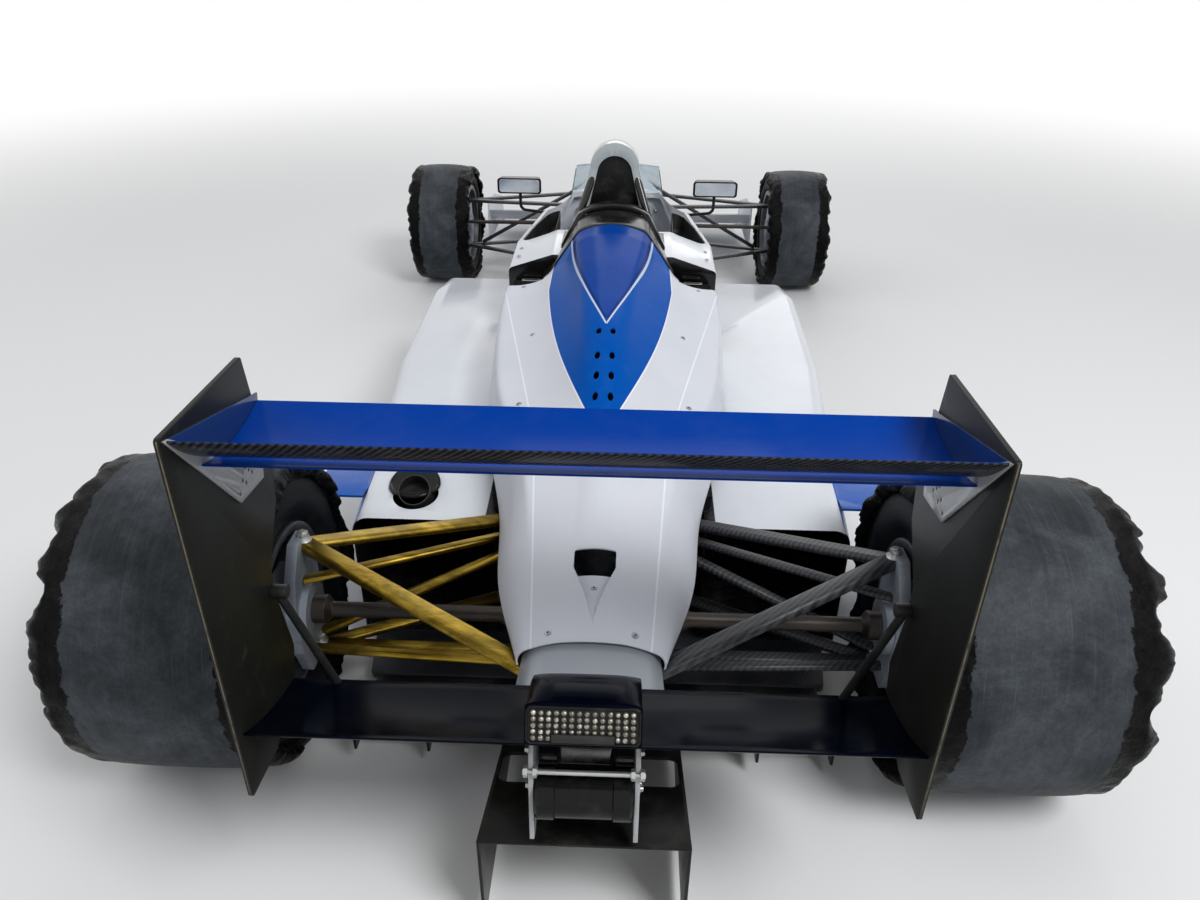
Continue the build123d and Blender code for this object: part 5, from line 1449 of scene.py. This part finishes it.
harness = {"shoulder": ((0.066, 1.640, 0.552), (0.066, 1.668, 0.470), (0.062, 1.705, 0.345), (0.052, 1.742, 0.245),
                        (0.040, 1.786, 0.158), (0.018, 1.846, 0.126)),
           "lap": ((0.140, 1.800, 0.205), (0.112, 1.812, 0.166), (0.070, 1.838, 0.134), (0.026, 1.868, 0.128)),
           "crotch": ((0.016, 1.985, 0.132), (0.014, 1.940, 0.132), (0.010, 1.885, 0.129)),
           "wide": {"shoulder": 0.050, "lap": 0.048, "crotch": 0.030}, "thick": 0.0022, "wire": 0.0028,
           "buckle": (0, 1.862, 0.132), "buckleProfile": ((0, 0.028), (0.010, 0.030), (0.014, 0.028), (0.015, 0.020),
                                                          (0.019, 0.018), (0.020, 0.012))}


def makeHarness():
    # six straps that meet at a round buckle, with an adjuster on each shoulder strap
    straps, metal = bmesh.new(), bmesh.new()
    for sign in (-1, 1):
        for key, width in harness["wide"].items():
            line = [fromAxle(sign * x, a, z + 0.004) for x, a, z in smoothLine(harness[key])]
            ribbon(straps, line, width, harness["thick"], (0.0, 1.0, 0.0) if key == "lap" else (1, 0, 0))
        x, a, z = smoothLine(harness["shoulder"])[12]
        half = 0.027
        for k in (-1, 1):
            bar = [fromAxle(sign * x + end, a + 0.008 + 0.003 * k, z - 0.009 * k) for end in (-half, half)]
            ends = ((0.0055, 0.011), (0.011, -0.011))
            rail = [fromAxle(sign * x + half * k, a + ahead, z + up) for ahead, up in ends]
            tube(metal, bar, harness["wire"], 12)
            tube(metal, rail, harness["wire"], 12)
    turned(metal, fromAxle(*harness["buckle"]), Vector((0, -0.08, 1)), harness["buckleProfile"], 40)
    makePiece("harness_straps", straps, "webbing", 40)
    makePiece("harness_buckles", metal, "bracket")


headRest = {"middle": (0, 1.648, 0.634), "half": (0.118, 0.072, 0.020), "lean": -0.05}


def makeHeadRest():
    # a firm pad with piped edges in front of the hoop
    halfWide, halfHigh, thick = headRest["half"]
    middle = fromAxle(*headRest["middle"])
    build = bmesh.new()
    bmesh.ops.create_cube(build, size=2.0)
    bmesh.ops.subdivide_edges(build, edges=build.edges, cuts=15, use_grid_fill=True)

    def shaped(a, b, c):
        round4 = (abs(a) ** 6 + abs(b) ** 6) ** (1 / 6) if max(abs(a), abs(b)) > 0 else 1
        pull = max(abs(a), abs(b)) / max(round4, 1e-6)
        x, up = a * pull * halfWide * (1 - 0.03 * (1 - b * b)), b * pull * halfHigh * (1 - 0.04 * (1 - a * a))
        full = ((1 - min(1.0, abs(a)) ** 5) * (1 - min(1.0, abs(b)) ** 5)) ** 0.4
        channel = 1 - 0.16 * math.exp(-(abs(x) / 0.004 - halfWide * 0.36 / 0.004) ** 2)
        return middle + Vector((x, -headRest["lean"] * up + c * thick * (0.30 + 0.70 * full * channel), up))

    for vert in build.verts:
        vert.co = shaped(*vert.co)
    pad = makePiece("head_rest_pad", build, "padding", 60)
    piping, ring = bmesh.new(), []
    for t in [2 * math.pi * k / 96 for k in range(98)]:
        reach = 1 / max(abs(math.cos(t)), abs(math.sin(t)))
        ring.append(shaped(math.cos(t) * reach, math.sin(t) * reach, 0.0))
    tube(piping, ring, 0.0026, 10, False)
    makePiece("head_rest_piping", piping, "thread", 60)


wheelLook = {"nut": (0.087, 0.114, 0.033), "bolts": 24, "boltRing": (0.0634, 0.1345), "valve": (0.161, 0.35, 0.022),
             "cap": ((0, 0.023), (0.005, 0.023), (0.006, 0.021), (0.006, 0.013), (0.001, 0.013)),
             "stem": ((0, 0.0065), (0.004, 0.0060), (0.005, 0.0040)), "disc": (-0.058, -0.046, 0.041, 0.128),
             "tip": ((0.008, 0.0040), (0.007, 0.0050), (0.001, 0.0050), (0, 0.0038))}


def makeWheelDetails():
    # a centre nut, the ring of rim bolts and a valve on every wheel
    start, end, across = wheelLook["nut"]
    boltOff, boltRadius = wheelLook["boltRing"]
    reach, valveTurn, length = wheelLook["valve"]
    washer = ((0, across + 0.006), (0.004, across + 0.006), (0.005, across))
    stem = [*wheelLook["stem"], *[(length - a, radius) for a, radius in wheelLook["tip"]]]
    for name, axle, track, *sizes, rimWidth, ridgeOut, ridgeIn in axles:
        for side, sign in sides:
            body, tag = f"wheel_{name}_{side}", f"{name}_{side}"
            centre, out = Vector((sign * track, *axle)), Vector((sign, 0, 0))
            nut, valve = bmesh.new(), bmesh.new()
            turned(nut, centre + out * start, out, washer, 48)
            turned(nut, centre + out * (start + 0.004), out, ((0, across), (0.017, across), (0.020, across - 0.004)), 6)
            turned(nut, centre + out * (start + 0.022), out, wheelLook["cap"], 36)
            makePiece("wheel_nut_" + tag, nut, "nut", 30, body=body)
            spokes = [Vector((0, c, s)) for c, s in circle(wheelLook["bolts"])]
            places = [(centre + out * boltOff + spoke * boltRadius, out + spoke * 0.257) for spoke in spokes]
            makeBolts("rim_bolts_" + tag, places, 0.0042, 0.0045, body)
            spoke = Vector((0, math.cos(valveTurn), math.sin(valveTurn)))
            root = centre + out * (rimWidth / 2 - 0.030) + spoke * reach
            turned(valve, root, out * 0.25 - spoke, stem, 14)
            makePiece("valve_" + tag, valve, "gloss", body=body)


def ringPart(build, centre, out, start, end, inner, outer, sides=72, first=0.0, sweep=2 * math.pi):
    # a ring, or part of one, round an axle
    whole = sweep > 6.28
    rows = []
    for k in range(sides if whole else sides + 1):
        turn = first + sweep * k / sides
        spoke = Vector((0, math.cos(turn), math.sin(turn)))
        corners = ((start, inner), (end, inner), (end, outer), (start, outer))
        rows.append([centre + out * a + spoke * r for a, r in corners])
    if whole:
        joinEnds(build, strip(build, rows, True))
    else:
        solidStrip(build, rows)


def makeBrakes():
    # front discs on the wheels, and a caliper on every upright
    start, end, inner, outer = wheelLook["disc"]
    for side, sign in sides:
        out = Vector((sign, 0, 0))
        centre = Vector((sign * axles[1][2], *frontAxle))
        disc = bmesh.new()
        ringPart(disc, centre, out, start, end, inner, outer)
        ringPart(disc, centre, out, start - 0.004, end + 0.004, 0.036, 0.058, 48)
        bevelPiece("brake_disc_front_" + side, disc, "disc", 0.0008, 2, body=f"wheel_front_{side}")
        for name, axle, off, body, first in (("front", frontAxle, axles[1][2] - 0.052, f"knuckle_{side}", 2.35),
                                             ("rear", rearAxle, 0.706, "chassis", 2.45)):
            caliper = bmesh.new()
            hub = Vector((sign * off, *axle))
            for low, high in ((-0.029, -0.009), (0.009, 0.025)):
                ringPart(caliper, hub, out, low, high, 0.094, 0.134, 14, first, 0.95)
            ringPart(caliper, hub, out, -0.0285, 0.0245, 0.1335, 0.1385, 14, first + 0.01, 0.93)
            bevelPiece(f"caliper_{name}_{side}", caliper, "caliper", 0.0025, 3, body=body)


radiator = {"ahead": 1.500, "x": (0.262, 0.600), "z": (0.060, 0.372), "rows": 38, "fins": 0.0014}


def thinFins(maker, points, width, depth, thickness):
    # one thin fin on every point
    size = maker.node("ShaderNodeCombineXYZ", None, {0: width, 1: depth, 2: thickness})
    return {"Points": points, "Instance": maker.node("GeometryNodeMeshCube", None, {"Size": size})}


def makeRadiators():
    (x, xEnd), (low, high), rows = radiator["x"], radiator["z"], radiator["rows"]
    middle, level, y = (x + xEnd) / 2, (low + high) / 2, rearAxle[0] + radiator["ahead"]
    halfWide, halfHigh = (xEnd - x) / 2, (high - low) / 2
    places = [(sign * middle, y, low + (high - low) * (k + 0.5) / rows) for sign in (-1, 1) for k in range(rows)]
    seed = bpy.data.meshes.new("finPlaces")
    seed.from_pydata(places, [], [])
    values = {"Fin width": 2 * halfWide - 0.03, "Fin depth": 0.034, "Fin thickness": radiator["fins"]}
    fins = growNodes(makeTree("radiatorFins", "bracket", list(values), thinFins), seed, values)
    addPiece("radiator_fins", fins, "bracket", 30)
    # x, z, half width, half height, corner and half depth of each bar
    bars = [(at, level, 0.008, halfHigh, 0.003, 0.026) for at in (x + 0.008, xEnd - 0.008)]
    bars += [(middle, at, halfWide - 0.001, 0.004, 0.003, 0.025) for at in (low + 0.005, high - 0.005)]
    bars += [(x + 0.03 + (xEnd - x - 0.06) * (k + 0.5) / 7, level, 0.0022, halfHigh - 0.003, 0.001, 0.012)
             for k in range(7)]
    frameParts = bmesh.new()
    for sign in (-1, 1):
        for at, z, halfX, halfZ, corner, deep in bars:
            slab(frameParts, roundedOutline(halfX, halfZ, corner, (sign * at, z)), "y", y - deep, y + deep)
    bevelPiece("radiator_frames", frameParts, "bracket", 0.001)


armEnds = {"front": ((0.128, 3.062, 0.410), (0.190, 2.720, 0.430), (0.150, 3.062, 0.190), (0.192, 2.680, 0.150)),
           "apart": 0.012, "rear": ((0.040, 0.135), (0.034, -0.127)), "rearX": 0.594,
           "joint": ((0, 0.011), (0.006, 0.013), (0.010, 0.0165), (0.030, 0.0165), (0.034, 0.013), (0.040, 0.011)),
           "nut": ((0, 0.012), (0.007, 0.012), (0.008, 0.006), (0.012, 0.006))}


def makeArmEnds():
    # bolts where the front arms meet the tub, and ball joints at the rear arms' outer ends
    places = [(fromAxle(sign * x, a + way * armEnds["apart"], z + 0.004), (sign, 0, 0.2))
              for sign in (-1, 1) for x, a, z in armEnds["front"] for way in (1, -1)]
    makeBolts("arm_bolts", places, 0.0048, 0.0045)
    joints, lift, up = bmesh.new(), Vector((0, 0, 0.020)), (0, 0, 1)
    for sign in (-1, 1):
        for at, above in armEnds["rear"]:
            ball = fromAxle(sign * armEnds["rearX"], at, rearAxle[1] + above)
            turned(joints, ball - lift, up, armEnds["joint"], 24)
            turned(joints, ball + lift, up, armEnds["nut"], 6)
    makePiece("arm_joints", joints, "bracket")


# ahead of the front axle, z
frontWing = {"bolts": ((0.90, 0.12), (0.72, 0.15), (0.52, 0.19), (0.44, 0.23)), "boltX": 0.6985,
             "bracket": ((0.575, 0.126), (0.592, 0.158), (0.560, 0.176), (0.520, 0.186), (0.540, 0.140)),
             "bracketX": (0.18, 0.41, 0.64), "bracketHalf": 0.0015}


def makeFrontWingDetails():
    # flap brackets, and the bolts through the end plates
    places = [((sign * frontWing["boltX"], frontAxle[0] + a, z), (sign, 0, 0))
              for sign in (-1, 1) for a, z in frontWing["bolts"]]
    makeBolts("front_wing_bolts", places, 0.0048, 0.0024)
    brackets, half = bmesh.new(), frontWing["bracketHalf"]
    outline = [(frontAxle[0] + a, z) for a, z in frontWing["bracket"]]
    for sign in (-1, 1):
        for x in frontWing["bracketX"]:
            slab(brackets, outline, "x", sign * x - half, sign * x + half)
    bevelPiece("front_wing_brackets", brackets, "bracket", 0.0004)


makeGripDetails()
makeDash()
makeHarness()
makeHeadRest()
makeWheelDetails()
makeBrakes()
makeRadiators()
makeArmEnds()
makeFrontWingDetails()
print("cockpit, wheel and radiator details made")


floorLook = {"size": 60.0, "colour": (226, 227, 228), "world": 0.45, "fade": (2.8, 8.0)}


def seenRays(maker):
    # 1 for what the camera sees, also in a mirror or through glass
    rays = maker.node("ShaderNodeLightPath").socket.node.outputs
    seen = [Wire(maker, rays[name]) for name in ("Is Camera Ray", "Is Glossy Ray", "Is Transmission Ray")]
    return seen[0].high(seen[1]).high(seen[2])


def makeStage():
    finish = Finish("studioFloor")
    cloud = finish.noise(0.7, 3.0)
    colour = finish.blend(cloud * 0.3, floorLook["colour"], (218, 219, 221))
    lit = finish.node("ShaderNodeBsdfPrincipled", None,
                      {"Base Color": colour, "Roughness": 0.85, "Specular IOR Level": 0.2})
    white = finish.node("ShaderNodeEmission", None, {0: (255, 255, 255), 1: 1.0})
    x, y, z = finish.parts()
    away = ((x * x + y * y) ** 0.5).step(*floorLook["fade"])
    mixed = finish.node("ShaderNodeMixShader", None, {0: away * seenRays(finish), 1: lit, 2: white})
    finish.node("ShaderNodeOutputMaterial", None, {"Surface": mixed})
    half = floorLook["size"] / 2
    mesh = bpy.data.meshes.new("studioFloor")
    mesh.from_pydata([(-half, -half, 0), (half, -half, 0), (half, half, 0), (-half, half, 0)], [], [(0, 1, 2, 3)])
    mesh.materials.append(finish.material)
    ground = inScene("studioFloor", mesh)
    world = bpy.data.worlds.new("studio")
    world.use_nodes = True
    scene.world = world
    maker = Maker(world.node_tree)
    strength = seenRays(maker) * (1.0 - floorLook["world"]) + floorLook["world"]
    back = maker.node("ShaderNodeBackground", None, {0: (255, 255, 255), 1: strength})
    maker.node("ShaderNodeOutputWorld", None, {0: back})


lamps = {"key": ((3.2, -4.6, 5.6), 2.4, 330.0), "fill": ((-5.0, -1.0, 4.0), 5.0, 70.0),
         "front": ((0.5, 6.0, 4.0), 4.0, 90.0)}


def makeLamps():
    for name, (place, size, power) in lamps.items():
        data = bpy.data.lights.new(name, "AREA")
        data.size, data.energy = size, power
        lamp = inScene(name, data)
        lamp.location = place
        lamp.rotation_euler = (Vector((0, -0.4, 0.3)) - Vector(place)).to_track_quat("-Z", "Y").to_euler()


makeStage()
makeLamps()
print("stage lit")
